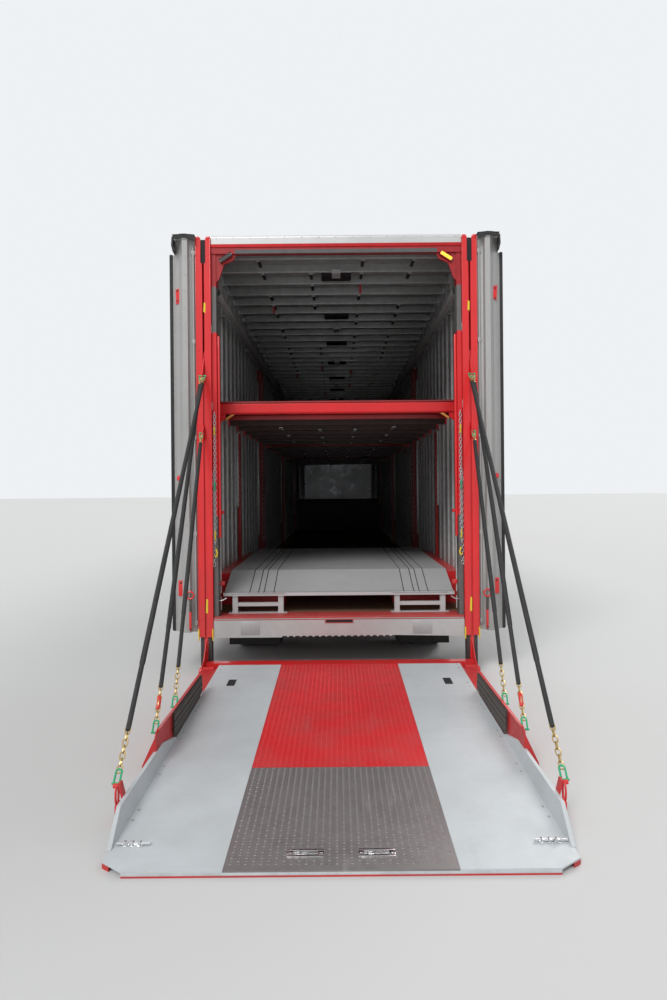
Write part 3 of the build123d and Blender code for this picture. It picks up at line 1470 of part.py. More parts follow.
# Front axle: dropped beam with a round eye for each steering pin, under packs of leaf springs
front_axle_y = back(FRONT_AXLE_BACK)
front_z = TYRE_RADIUS
beam_z = front_z - 90
beam_half_z = 50
beam_end_x = 620
axle_centre = block(
    (-beam_end_x, beam_end_x), (front_axle_y - 50, front_axle_y + 50), (
        beam_z - beam_half_z,
        beam_z + beam_half_z,
    )
)
axle_end = front_prism(
    [
        (beam_end_x - 20, beam_z - beam_half_z),
        (beam_end_x + 20, beam_z - beam_half_z),
        (STEER_PIN_X - 60, front_z - STEER_EYE_HALF),
        (STEER_PIN_X, front_z - STEER_EYE_HALF),
        (STEER_PIN_X, front_z + STEER_EYE_HALF),
        (STEER_PIN_X - 60, front_z + STEER_EYE_HALF),
        (beam_end_x - 20, beam_z + beam_half_z),
    ],
    front_axle_y - STEER_EYE_RADIUS + 4,
    front_axle_y + STEER_EYE_RADIUS - 4,
)
axle_eye = rod(
    STEER_EYE_RADIUS,
    (STEER_PIN_X, front_axle_y, front_z - STEER_EYE_HALF),
    (STEER_PIN_X, front_axle_y, front_z + STEER_EYE_HALF),
)
pin_bore = rod(
    STEER_PIN_RADIUS + CONTACT_GAP,
    (STEER_PIN_X, front_axle_y, front_z - 2 * STEER_EYE_HALF),
    (STEER_PIN_X, front_axle_y, front_z + 2 * STEER_EYE_HALF),
)
spring_x = (CHASSIS_RAIL_X - 35, CHASSIS_RAIL_X + 35)
spring_table = (
    # half length, bottom, top
    (640, 165, 180),
    (480, 150, 166),
    (330, 135, 151),
    (70, 45, 136),
)
spring = [
    block(spring_x, (front_axle_y - half, front_axle_y + half), (beam_z + low, beam_z + high))
    for half, low, high in spring_table
]
for end in (-1, 1):
    end_y = sorted((front_axle_y + end * 570, front_axle_y + end * 640))
    spring.append(block(spring_x, end_y, (beam_z + 175, CHASSIS_RAIL_BOTTOM)))
axle_side = cut(joined([axle_end, axle_eye]), [pin_bore])
keep_tractor("front_axle", joined([axle_centre] + both_sides(axle_side) + both_sides(joined(spring))))

# Steering knuckles: fork round the beam's eye, with pin, brake drum and spindle
fork_gap = STEER_EYE_HALF + CONTACT_GAP
fork_top = front_z + fork_gap + FORK_THICK
fork_low = front_z - fork_gap - FORK_THICK
fork_y = (front_axle_y - 34, front_axle_y + 34)
fork_x = (STEER_PIN_X - 32, STEER_PIN_X + 75)
drum_radius = 175
drum_end_x = fork_x[1] + 35
knuckle = joined(
    [
        rod(STEER_PIN_RADIUS, (STEER_PIN_X, front_axle_y, fork_low), (STEER_PIN_X, front_axle_y, fork_top)),
        block(fork_x, fork_y, (fork_top - FORK_THICK, fork_top)),
        block(fork_x, fork_y, (fork_low, fork_low + FORK_THICK)),
        block((fork_x[1] - 25, fork_x[1]), fork_y, (fork_low, fork_top)),
        rod(drum_radius, (fork_x[1], front_axle_y, front_z), (drum_end_x, front_axle_y, front_z)),
        rod(
            SPINDLE_RADIUS,
            (drum_end_x, front_axle_y, front_z),
            (FRONT_WHEEL_X + 80, front_axle_y, front_z),
        ),
    ]
)
for side_name, side in SIDES:
    keep_tractor(f"knuckle_{side_name}", on_side(knuckle, side))

front_wheel = wheel(TYRE_RADIUS, FRONT_TYRE_WIDTH, RIM_RADIUS, 0, 35, bore_radius)
for side_name, side in SIDES:
    keep_tractor(f"front_wheel_{side_name}", on_side(Pos(FRONT_WHEEL_X, front_axle_y, front_z) * front_wheel, side))

# Drive axles: round centre, arms with air springs under the rails, and brake chambers
drive_axles_y = [back(TANDEM_BACK) - TANDEM_PITCH / 2, back(TANDEM_BACK) + TANDEM_PITCH / 2]
drive_twin_half = (DRIVE_TWIN_PITCH + DRIVE_TYRE_WIDTH) / 2
drive_tube_end = DRIVE_WHEEL_X - drive_twin_half - 30
drive_spindle_end = DRIVE_WHEEL_X + DRIVE_TWIN_PITCH / 2 + 60
housing_half = [
    # x, radius
    (0, 205),
    (90, 185),
    (170, 90),
    (drive_tube_end, 72),
    (drive_tube_end, SPINDLE_RADIUS),
    (drive_spindle_end, SPINDLE_RADIUS),
    (drive_spindle_end, 0),
]
housing = [(-x, r) for x, r in reversed(housing_half)] + housing_half[1:]
arm_half = 38
arm_z = (front_z + 60, front_z + 100)
air_spring_y = -260
chamber_x = CHASSIS_RAIL_X + 95
chamber_z = front_z + 130
drive_parts = []
for y in drive_axles_y:
    drive_side = joined(
        [
            block(
                (CHASSIS_RAIL_X - arm_half, CHASSIS_RAIL_X + arm_half),
                (y - 60, y + 60),
                (front_z, CHASSIS_RAIL_BOTTOM),
            ),
            block((CHASSIS_RAIL_X - arm_half, CHASSIS_RAIL_X + arm_half), (y - 380, y), arm_z),
            rod(
                115,
                (CHASSIS_RAIL_X, y + air_spring_y, arm_z[1] - 1),
                (CHASSIS_RAIL_X, y + air_spring_y, CHASSIS_RAIL_BOTTOM),
            ),
            rod(68, (chamber_x, y + 70, chamber_z), (chamber_x, y + 230, chamber_z)),
            block((chamber_x - 20, chamber_x + 20), (y, y + 90), (front_z, chamber_z)),
        ]
    )
    drive_parts.append(joined([turned(housing, (0, y, front_z))] + both_sides(drive_side)))
keep_tractor("drive_axles", drive_parts)
drive_wheel = wheel(TYRE_RADIUS, DRIVE_TYRE_WIDTH, RIM_RADIUS, DRIVE_TWIN_PITCH, 0, bore_radius)
for index, y in enumerate(drive_axles_y):
    for side_name, side in SIDES:
        place = Pos(DRIVE_WHEEL_X, y, front_z)
        keep_tractor(f"drive_wheel_{('rear', 'front')[index]}_{side_name}", on_side(place * drive_wheel, side))

# Engine as one block on the frame, with its radiator
engine_x = chassis_inner - 12
engine = block(
    (-engine_x, engine_x),
    (back(CAB_FRONT_BACK - 60), back(560)),
    (CHASSIS_RAIL_BOTTOM + 40, 1500),
)
engine_mounts = [
    block(
        (-CHASSIS_RAIL_X, CHASSIS_RAIL_X), (back(d) - 40, back(d) + 40), (
            CHASSIS_RAIL_TOP,
            CHASSIS_RAIL_TOP + 40,
        )
    )
    for d in (700, CAB_FRONT_BACK - 260)
]
radiator = block((-440, 440), (back(400), back(300)), (CHASSIS_RAIL_TOP, 1440))
keep_tractor("engine_block", [joined([engine] + engine_mounts), radiator])

# Cab with sleeper: side profile whose columns are distance behind the cab's front, height, radius
cab_profile = (
    (0, CAB_BOTTOM, 0),
    (0, COWL_TOP, 120),
    (SCREEN_RAKE, SCREEN_TOP, 130),
    (SCREEN_RAKE + 200, SCREEN_TOP + 70, 60),
    (SCREEN_RAKE + 1300, CAB_TOP - 50, 500),
    (CAB_LENGTH, CAB_TOP, 140),
    (CAB_LENGTH, CAB_BOTTOM, 0),
)
cab_face = rounded_face([(back(CAB_FRONT_BACK + d), z, r) for d, z, r in cab_profile])


def cab_solid(inset):
    face = offset(cab_face, amount=-inset).faces()[0] if inset else cab_face
    half = CAB_HALF_WIDTH - inset
    plane = Plane(origin=(-half, 0, 0), x_dir=(0, 1, 0), z_dir=(1, 0, 0))
    return extrude(plane * face, amount=2 * half, dir=(1, 0, 0)).solid()


cab_outer = cab_solid(0)
side_edges = [
    e for e in cab_outer.edges() if abs(abs(e.center().X) - CAB_HALF_WIDTH) < 1 and e.center().Z > CAB_FLOOR
]
cab_outer = fillet(side_edges, CAB_EDGE_RADIUS)
cab_inner = cab_solid(CAB_WALL)
door_front = CAB_FRONT_BACK + 110
door_rear = door_front + CAB_DOOR_WIDTH
door_low = CAB_FLOOR + 10
door_slant_z = COWL_TOP + 30
door_rows = [
    # distance back, z, corner radius
    (door_front, door_low, 40),
    (door_front, door_slant_z, 60),
    (door_front + 470, CAB_DOOR_TOP, 60),
    (door_rear, CAB_DOOR_TOP, 60),
    (door_rear, door_low, 60),
]
window_rows = [
    # distance back, z, corner radius
    (door_front + 70, WINDOW_LOW, 50),
    (door_front + 130, door_slant_z, 40),
    (door_front + 500, CAB_DOOR_TOP - 70, 50),
    (door_rear - 70, CAB_DOOR_TOP - 70, 60),
    (door_rear - 70, WINDOW_LOW, 60),
]
sleeper_rows = [
    # distance back, z, corner radius
    (CAB_BACK_BACK - 1600, WINDOW_LOW + 220, 70),
    (CAB_BACK_BACK - 1600, CAB_DOOR_TOP - 290, 70),
    (CAB_BACK_BACK - 1050, CAB_DOOR_TOP - 290, 70),
    (CAB_BACK_BACK - 1050, WINDOW_LOW + 220, 70),
]


def cab_side_cut(rows, shrink=0):
    face = rounded_face([(back(d), z, r) for d, z, r in rows])
    if shrink:
        face = offset(face, amount=-shrink).faces()[0]
    plane = Plane(origin=(CAB_HALF_WIDTH - 150, 0, 0), x_dir=(0, 1, 0), z_dir=(1, 0, 0))
    return extrude(plane * face, amount=300, dir=(1, 0, 0)).solid()


# Two panes of the windscreen beside a centre pillar
pane_rows = [
    # x, z, corner radius
    (25, door_slant_z + 30, 30),
    (955, door_slant_z + 30, 70),
    (905, CAB_DOOR_TOP, 70),
    (25, CAB_DOOR_TOP, 30),
]
pane_cut = front_form(pane_rows, back(CAB_FRONT_BACK + 740), back(CAB_FRONT_BACK - 160))
cab_cuts = [cab_inner] + both_sides(pane_cut) + both_sides(cab_side_cut(door_rows))
cab_cuts += both_sides(cab_side_cut(sleeper_rows))
cab_shell = cut(cab_outer, cab_cuts)
screen_head_y = back(CAB_FRONT_BACK + SCREEN_RAKE)
visor = side_prism(
    [
        (screen_head_y - 40, SCREEN_TOP + 10),
        (screen_head_y + 300, SCREEN_TOP - 55),
        (screen_head_y + 295, SCREEN_TOP - 73),
        (screen_head_y, SCREEN_TOP - 40),
    ],
    -1000,
    1000,
)
lamp_y, lamp_z = screen_head_y - 260, SCREEN_TOP + 125
marker_lamps = [
    rod(28, (x - 60, lamp_y, lamp_z), (x + 60, lamp_y, lamp_z))
    for x in (-800, -160, 0, 160, 800)
]
grab_x = CAB_HALF_WIDTH + 34
grab_y = back(door_rear + 90)
grab_z = (1450, 2300)
grab_handle = [rod(13, (grab_x, grab_y, grab_z[0]), (grab_x, grab_y, grab_z[1]))]
for z in (grab_z[0] + 20, grab_z[1] - 20):
    grab_handle.append(rod(10, (CAB_HALF_WIDTH - CAB_WALL / 2, grab_y, z), (grab_x, grab_y, z)))

# Cab doors with a window opening and a mirror, hinged at the front edge
door_slice = block((CAB_HALF_WIDTH - CAB_WALL, CAB_HALF_WIDTH), (back(6000), back(1000)), (1000, 3000))
door_hinge = (CAB_HALF_WIDTH + 12, back(door_front + SIDE_DOOR_GAP))
cab_door = cut(common(cab_side_cut(door_rows, SIDE_DOOR_GAP), door_slice), [cab_side_cut(window_rows)])
cab_hinge_zs = (1250, 1750)
cab_door_hinges = [
    hinge_half(*door_hinge, CAB_HALF_WIDTH, -1, z, z + HINGE_HEIGHT) for z in cab_hinge_zs
]
cab_wall_hinges = [
    hinge_half(*door_hinge, CAB_HALF_WIDTH, 1, z + HINGE_HEIGHT + CONTACT_GAP, z + 1.5 * HINGE_HEIGHT)
    for z in cab_hinge_zs
]
side_extras = [both for piece in cab_wall_hinges + grab_handle for both in both_sides(piece)]
shell_extras = [visor] + marker_lamps + side_extras
keep_tractor("cab_shell", joined([cab_shell] + shell_extras))
door_grip = block(
    (CAB_HALF_WIDTH - 1, CAB_HALF_WIDTH + 24), (back(door_rear - 60), back(door_rear - 220)), (1700, 1730)
)
mirror_x = (CAB_HALF_WIDTH + 95, CAB_HALF_WIDTH + MIRROR_REACH)
mirror_y = (back(door_front + 220), back(door_front + 130))
mirror_z = (1930, 2470)
mirror_head = plan_form(
    [
        # x, y, corner radius
        (mirror_x[0], mirror_y[0], 12),
        (mirror_x[1], mirror_y[0], 12),
        (mirror_x[1], mirror_y[1], 40),
        (mirror_x[0], mirror_y[1], 40),
    ],
    *mirror_z,
)
mirror_middle = (sum(mirror_x) / 2, sum(mirror_y) / 2)
mirror_arms = [
    rod(13, (CAB_HALF_WIDTH - 10, back(door_front + 355), 2440), (*mirror_middle, 2440)),
    rod(13, (CAB_HALF_WIDTH - 10, back(door_front + 40), 1890), (*mirror_middle, 1960)),
]
cab_door_right = joined([cab_door] + cab_door_hinges + [door_grip, mirror_head] + mirror_arms)
for side_name, side in SIDES:
    keep_tractor(f"cab_door_{side_name}", on_side(cab_door_right, side))

# Seats, bunk, dash and steering wheel
seat_y = (back(CAB_FRONT_BACK + 1290), back(CAB_FRONT_BACK + 790))
seat_x = (320, 820)
cab_seat = joined(
    [
        block(seat_x, seat_y, (1330, 1480)),
        side_form(
            [
                # y, z, corner radius
                (seat_y[0] + 130, 1400, 0),
                (seat_y[0] - 60, 2130, 50),
                (seat_y[0] - 170, 2130, 50),
                (seat_y[0], 1400, 0),
            ],
            *seat_x,
        ),
        block(
            (seat_x[0] + 100, seat_x[1] - 100),
            (seat_y[0] + 100, seat_y[1] - 100),
            (CAB_BOTTOM + CAB_WALL, 1330),
        ),
    ]
)
cab_room = CAB_HALF_WIDTH - CAB_WALL
bunk = block((-cab_room, cab_room), (back(CAB_BACK_BACK - 50), back(CAB_BACK_BACK - 800)), (1250, 1650))
dash = side_form(
    [
        # y, z, corner radius
        (back(CAB_FRONT_BACK + 50), 1500, 0),
        (back(CAB_FRONT_BACK + 50), 1860, 0),
        (back(CAB_FRONT_BACK + 440), 1800, 70),
        (back(CAB_FRONT_BACK + 440), 1500, 0),
    ],
    -cab_room,
    cab_room,
)
steer_hub = (-(seat_x[0] + seat_x[1]) / 2, back(CAB_FRONT_BACK + 560), 1890)
steer_plane = Plane(origin=steer_hub, x_dir=(1, 0, 0), z_dir=(0, -0.6, 0.8))
steer_ring = Solid.make_torus(220, 16, steer_plane)
steer_spoke = steer_plane * Box(440, 40, 14)
steer_column = rod(24, steer_hub, (steer_hub[0], steer_hub[1] + 150, steer_hub[2] - 200))
steering = joined([steer_ring, steer_spoke, steer_column])
keep_tractor("cab_interior", both_sides(cab_seat) + [bunk, joined([dash, steering])])

# Bonnet: hood lofted through rounded sections, with a fender over each wheel
hood_rear_back = CAB_FRONT_BACK - 20
hood_low = 760
hood_rise_back = 700
hood_table = (
    # distance behind the hood's front, half width, top, shoulder radius
    (0, BONNET_FRONT_HALF - 50, 1505, 130),
    (13, BONNET_FRONT_HALF - 15, 1537, 135),
    (50, BONNET_FRONT_HALF + 10, 1565, 140),
    (120, BONNET_FRONT_HALF + 32, 1592, 150),
    (hood_rear_back - BONNET_FRONT_BACK, BONNET_REAR_HALF, COWL_TOP - 5, 240),
)


def hood(inset):
    sections = []
    for row, (d, half, top, radius) in enumerate(hood_table):
        last = row == len(hood_table) - 1
        y = back(BONNET_FRONT_BACK + d + inset)
        low = hood_low - 4 * inset
        half = half - inset + (5 if last and inset else 0)
        top = top - inset + (4 if last and inset else 0)
        rows = [(-half, low, 0), (half, low, 0), (half, top, radius - inset), (-half, top, radius - inset)]
        plane = Plane(origin=(0, y, 0), x_dir=(1, 0, 0), z_dir=(0, -1, 0))
        sections.append((plane * rounded_face(rows)).faces()[0].outer_wire())
    return Solid.make_loft(sections, True)


fender_front_back = BONNET_FRONT_BACK + 100
fender_rear_back = CAB_FRONT_BACK - 60
fender_inner_x = 400


def fender(inset):
    low = FENDER_BOTTOM - 4 * inset
    front = back(fender_front_back + inset)
    rear = back(fender_rear_back - inset)
    side_rows = [
        # y, z, corner radius
        (front, low, 0),
        (front, FENDER_TOP - 155 - inset, 180 - inset),
        (front - 510, FENDER_TOP - 15 - inset, 260),
        (rear + 260, FENDER_TOP - 15 - inset, 240 - inset),
        (rear, FENDER_TOP - 125 - inset, 40),
        (rear, low, 0),
    ]
    plan_rows = [
        # x, y, corner radius
        (fender_inner_x, front, 0),
        (FENDER_HALF - inset, front, 330 - inset),
        (FENDER_HALF - inset, rear, 60 - inset / 2),
        (fender_inner_x, rear, 0),
    ]
    upright = side_form(side_rows, fender_inner_x - 10, FENDER_HALF + 50)
    return common(upright, plan_form(plan_rows, low - 10, FENDER_TOP + 10))


arch_radius = TYRE_RADIUS + FENDER_GAP
wheel_space = rod(arch_radius, (560, front_axle_y, front_z), (1300, front_axle_y, front_z))
under_hood = side_prism(
    [
        (back(500), hood_low - 1),
        (back(hood_rise_back), CAB_BOTTOM + 10),
        (back(hood_rear_back + 1), CAB_BOTTOM + 10),
        (back(hood_rear_back + 1), hood_low - 1),
    ],
    -BONNET_REAR_HALF,
    BONNET_REAR_HALF,
)
hood_form = cut(hood(0), [under_hood])
grille_radius = 60
grille_rows = [
    # x, z
    (-GRILLE_HALF, GRILLE_LOW),
    (GRILLE_HALF, GRILLE_LOW),
    (GRILLE_HALF, GRILLE_HIGH),
    (-GRILLE_HALF, GRILLE_HIGH),
]
grille_hole = front_form(
    [(x, z, grille_radius) for x, z in grille_rows],
    back(BONNET_FRONT_BACK + 60),
    back(0),
)


def headlamp_block(clearance):
    return block(
        (700 + clearance, 1120 - clearance),
        (back(fender_front_back + 270), back(fender_front_back - 50)),
        (HEADLAMP_LOW + clearance, HEADLAMP_HIGH - clearance),
    )


fender_form = fender(0)
bonnet = joined([hood_form] + both_sides(fender_form))
bonnet_tools = [hood(BONNET_SKIN), grille_hole] + both_sides(fender(BONNET_SKIN)) + both_sides(wheel_space)
bonnet = cut(bonnet, bonnet_tools + both_sides(headlamp_block(0)))
bonnet_arm_x = (590, 640)
hinge_y = back(BONNET_HINGE_BACK)
hinge_arm = side_prism(
    [
        (hinge_y + 25, BONNET_HINGE_Z - 25),
        (hinge_y + 25, BONNET_HINGE_Z + 25),
        (back(fender_front_back + 12), BONNET_HINGE_Z + 80),
        (back(fender_front_back + 12), BONNET_HINGE_Z + 20),
        (hinge_y - 50, BONNET_HINGE_Z - 25),
    ],
    *bonnet_arm_x,
)
arm_bore = rod(
    BONNET_PIN_RADIUS + CONTACT_GAP,
    (bonnet_arm_x[0] - 1, hinge_y, BONNET_HINGE_Z),
    (bonnet_arm_x[1] + 1, hinge_y, BONNET_HINGE_Z),
)
keep_tractor("bonnet", joined([bonnet] + both_sides(cut(hinge_arm, [arm_bore]))))
headlamp = cut(common(fender_form, headlamp_block(CONTACT_GAP)), [fender(4 * BONNET_SKIN)])
keep_tractor("headlamps", both_sides(headlamp))

# Grille: frame, bars across and a centre bar, set into the hood's front
grille_y = (back(BONNET_FRONT_BACK + BONNET_SKIN), back(BONNET_FRONT_BACK - 8))


def grille_outline(inset):
    rows = [(x - inset * (1 if x > 0 else -1), z) for x, z in grille_rows]
    middle_z = (GRILLE_LOW + GRILLE_HIGH) / 2
    return [(x, z - inset * (1 if z > middle_z else -1), grille_radius - inset) for x, z in rows]


frame_inset = 30
grille_frame = cut(
    front_form(grille_outline(CONTACT_GAP), *grille_y),
    [front_form(grille_outline(frame_inset), grille_y[0] - 1, grille_y[1] + 1)],
)
bar_pitch = (GRILLE_HIGH - GRILLE_LOW - 2 * frame_inset) / (GRILLE_BARS + 1)
bar_y = (grille_y[0], grille_y[1] - 6)
bar_x = GRILLE_HALF - frame_inset + 2
grille_bars = [
    block((-bar_x, bar_x), bar_y, (z - 9, z + 9))
    for z in [GRILLE_LOW + frame_inset + (i + 1) * bar_pitch for i in range(GRILLE_BARS)]
]
centre_bar = block((-14, 14), bar_y, (GRILLE_LOW + frame_inset - 2, GRILLE_HIGH - frame_inset + 2))
keep_tractor("grille", joined([grille_frame, centre_bar] + grille_bars))


# Bumper: rounded shell, closed on top, with the brackets and pins of the bonnet's hinge
def bumper_form(inset, z_start, z_end):
    rear = back(BUMPER_DEPTH + inset)
    rows = [
        # x, y, corner radius
        (-BUMPER_HALF + inset, rear, 0),
        (BUMPER_HALF - inset, rear, 0),
        (BUMPER_HALF - inset, back(inset), BUMPER_CORNER - inset),
        (-BUMPER_HALF + inset, back(inset), BUMPER_CORNER - inset),
    ]
    return plan_form(rows, z_start, z_end)


fog_lamp_hole = rod(70, (800, back(-1), 480), (800, back(BUMPER_SKIN + 10), 480))
air_hole = front_form(
    [
        # x, z, corner radius
        (-420, BUMPER_BOTTOM + 60, 40),
        (420, BUMPER_BOTTOM + 60, 40),
        (420, BUMPER_TOP - 110, 40),
        (-420, BUMPER_TOP - 110, 40),
    ],
    back(BUMPER_SKIN + 10),
    back(-1),
)
bumper_inside = bumper_form(BUMPER_SKIN, BUMPER_BOTTOM - 1, BUMPER_TOP - BUMPER_SKIN)
bumper_holes = [bumper_inside, air_hole] + both_sides(fog_lamp_hole)
bumper = cut(bumper_form(0, BUMPER_BOTTOM, BUMPER_TOP), bumper_holes)
bumper_bracket = side_prism(
    [
        (back(BUMPER_SKIN - 4), BUMPER_TOP - 200),
        (back(BUMPER_SKIN - 4), BUMPER_TOP - 10),
        (back(FRAME_FRONT_BACK), BUMPER_TOP + 40),
        (back(FRAME_FRONT_BACK), CHASSIS_RAIL_TOP - 60),
        (back(FRAME_FRONT_BACK + 220), CHASSIS_RAIL_TOP - 60),
        (back(FRAME_FRONT_BACK + 220), CHASSIS_RAIL_BOTTOM),
        (back(FRAME_FRONT_BACK + 100), BUMPER_TOP - 200),
    ],
    chassis_outer,
    chassis_outer + 20,
)
pin_start_x = bonnet_arm_x[0] - 30
hinge_pin = joined(
    [
        rod(
            BONNET_PIN_RADIUS,
            (pin_start_x, hinge_y, BONNET_HINGE_Z),
            (bonnet_arm_x[1] + 5, hinge_y, BONNET_HINGE_Z),
        ),
        block(
            (pin_start_x, pin_start_x + 20), (hinge_y - 30, back(BUMPER_SKIN - 8)), (
                BUMPER_TOP - 30,
                BONNET_HINGE_Z + 20,
            )
        ),
    ]
)
keep_tractor("bumper", joined([bumper] + both_sides(bumper_bracket) + both_sides(hinge_pin)))

# Fuel tanks with straps, cab steps, and the walkway behind the cab
tank_end_back = TANK_START_BACK + TANK_LENGTH
tank = rod(TANK_RADIUS, (TANK_X, back(tank_end_back), TANK_Z), (TANK_X, back(TANK_START_BACK), TANK_Z))
tank = fillet(tank.edges().filter_by(GeomType.CIRCLE), 50)
strap_backs = (TANK_START_BACK + 220, TANK_START_BACK + TANK_LENGTH / 2, tank_end_back - 220)
tank_side = [tank]
for d in strap_backs:
    tank_side.append(rod(TANK_RADIUS + 7, (TANK_X, back(d) - 30, TANK_Z), (TANK_X, back(d) + 30, TANK_Z)))
    tank_side.append(
        block(
            (chassis_outer, TANK_X - 200),
            (back(d) - 25, back(d) + 25),
            (CHASSIS_RAIL_BOTTOM, CHASSIS_RAIL_TOP - 100),
        )
    )
step_y = (back(CAB_FRONT_BACK + 990), back(CAB_FRONT_BACK + 190))
step_x = (TANK_X, CAB_HALF_WIDTH + 30)
step_zs = (380, 700)
steps = joined(
    [block(step_x, step_y, (z, z + 30)) for z in step_zs]
    + [
        block(step_x, (step_y[0], step_y[0] + 30), (step_zs[0], CAB_BOTTOM - 45)),
        block(step_x, (step_y[1] - 30, step_y[1]), (step_zs[0], CAB_BOTTOM - 45)),
        block((chassis_outer, TANK_X + 1), (step_y[0], step_y[0] + 50), (900, 960)),
        block((chassis_outer, TANK_X + 1), (step_y[1] - 50, step_y[1]), (900, 960)),
    ]
)
walkway_y = (back(CAB_BACK_BACK + 750), back(CAB_BACK_BACK + 180))
walkway = block((-chassis_outer, chassis_outer), walkway_y, (CHASSIS_RAIL_TOP, CHASSIS_RAIL_TOP + 12))
keep_tractor("tanks_and_steps", both_sides(joined(tank_side)) + both_sides(steps) + [walkway])

# Exhaust stacks behind the cab, with slanted tips
stack_y = back(CAB_BACK_BACK + 110)
stack_split = 2300
stack_top = CAB_TOP - 40
stack_foot = 1100
stack_tip = side_prism(
    [
        (stack_y - 100, stack_top - 110),
        (stack_y + 100, stack_top + 10),
        (stack_y + 100, stack_top + 60),
        (stack_y - 100, stack_top + 60),
    ],
    STACK_X - 100,
    STACK_X + 100,
)
stack = joined(
    [
        rod(STACK_RADIUS, (STACK_X, stack_y, stack_foot), (STACK_X, stack_y, stack_split)),
        cut(
            rod(STACK_PIPE_RADIUS, (STACK_X, stack_y, stack_split), (STACK_X, stack_y, stack_top)),
            [
                rod(
                    STACK_PIPE_RADIUS - 5,
                    (STACK_X, stack_y, stack_top - 400),
                    (STACK_X, stack_y, stack_top + 1),
                ),
                stack_tip,
            ],
        ),
        block((chassis_outer, STACK_X + 30), (stack_y - 30, stack_y + 30), (stack_foot - 100, stack_foot)),
        block((STACK_X - 30, STACK_X + 30), (stack_y, back(CAB_BACK_BACK)), (2500, 2540)),
    ]
)
keep_tractor("exhaust_stacks", both_sides(stack))

# Mudflaps of tractor and trailer
flap_half = 285
tractor_flap_y = back(FRAME_BACK) + 20
tractor_flap = joined(
    [
        block(
            (DRIVE_WHEEL_X - flap_half, DRIVE_WHEEL_X + flap_half),
            (tractor_flap_y, tractor_flap_y + 12),
            (CHASSIS_RAIL_BOTTOM - 500, CHASSIS_RAIL_TOP - 100),
        ),
        block(
            (chassis_outer, DRIVE_WHEEL_X + flap_half),
            (tractor_flap_y + 12, tractor_flap_y + 40),
            (CHASSIS_RAIL_TOP - 130, CHASSIS_RAIL_TOP - 100),
        ),
    ]
)
keep_tractor("tractor_mudflaps", both_sides(tractor_flap))
trailer_flap = block(
    (TRAILER_WHEEL_X - twin_half - 10, TRAILER_WHEEL_X + twin_half + 10),
    (well_start - 80, well_start - 70),
    (AXLE_BEAM_Z / 2, frame_top),
)
keep("trailer_mudflaps", both_sides(trailer_flap))

print(len(written), "parts written")
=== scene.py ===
import json
import math
from functools import partial
import random
import bpy
import bmesh
from mathutils import Vector, Matrix


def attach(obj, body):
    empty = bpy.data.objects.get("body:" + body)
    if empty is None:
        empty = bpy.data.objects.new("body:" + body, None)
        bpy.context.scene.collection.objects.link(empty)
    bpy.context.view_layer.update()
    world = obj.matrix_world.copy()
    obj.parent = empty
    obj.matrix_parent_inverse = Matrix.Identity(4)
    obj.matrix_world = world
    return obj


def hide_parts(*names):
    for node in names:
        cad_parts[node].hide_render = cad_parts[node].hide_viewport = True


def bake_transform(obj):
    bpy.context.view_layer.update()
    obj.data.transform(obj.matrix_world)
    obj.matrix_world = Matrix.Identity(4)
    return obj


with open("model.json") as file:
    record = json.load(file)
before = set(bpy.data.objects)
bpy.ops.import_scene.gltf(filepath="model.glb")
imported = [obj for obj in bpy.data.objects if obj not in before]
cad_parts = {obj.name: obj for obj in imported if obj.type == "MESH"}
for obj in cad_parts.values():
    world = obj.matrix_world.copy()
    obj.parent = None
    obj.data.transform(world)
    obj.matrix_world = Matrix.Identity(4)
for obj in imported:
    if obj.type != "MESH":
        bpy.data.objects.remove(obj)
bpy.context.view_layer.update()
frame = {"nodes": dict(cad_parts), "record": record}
nodes = frame["nodes"]
scene = bpy.context.scene
print("frame loaded:", len(nodes), "nodes")

# Camera behind the platform, at a standing man's eye height
cameraSettings = {
    "place": (0.0, -15.728, 1.71),
    "lens": 24.0,
    "shiftX": -0.0045,
    "shiftY": -0.011,
    "rollDegrees": -0.5,
}


def makeCamera(s):
    data = bpy.data.cameras.new("rearCamera")
    data.lens = s["lens"]
    data.shift_x = s["shiftX"]
    data.shift_y = s["shiftY"]
    data.clip_end = 400
    cam = bpy.data.objects.new("rearCamera", data)
    facing = Matrix.Rotation(math.radians(90), 4, "X")
    roll = Matrix.Rotation(math.radians(s["rollDegrees"]), 4, "Z")
    cam.matrix_world = Matrix.Translation(s["place"]) @ facing @ roll
    scene.collection.objects.link(cam)
    scene.camera = cam


makeCamera(cameraSettings)

# Floor, soft lamps and a pale world
studioSettings = {
    "floorHalf": 150,
    "floorColor": (0.62, 0.62, 0.61),
    "worldColor": (0.86, 0.88, 0.9),
    "worldLight": 0.62,
    "skyView": 1.0,
    "sunStrength": 1.7,
    "sunAngle": 28,
}


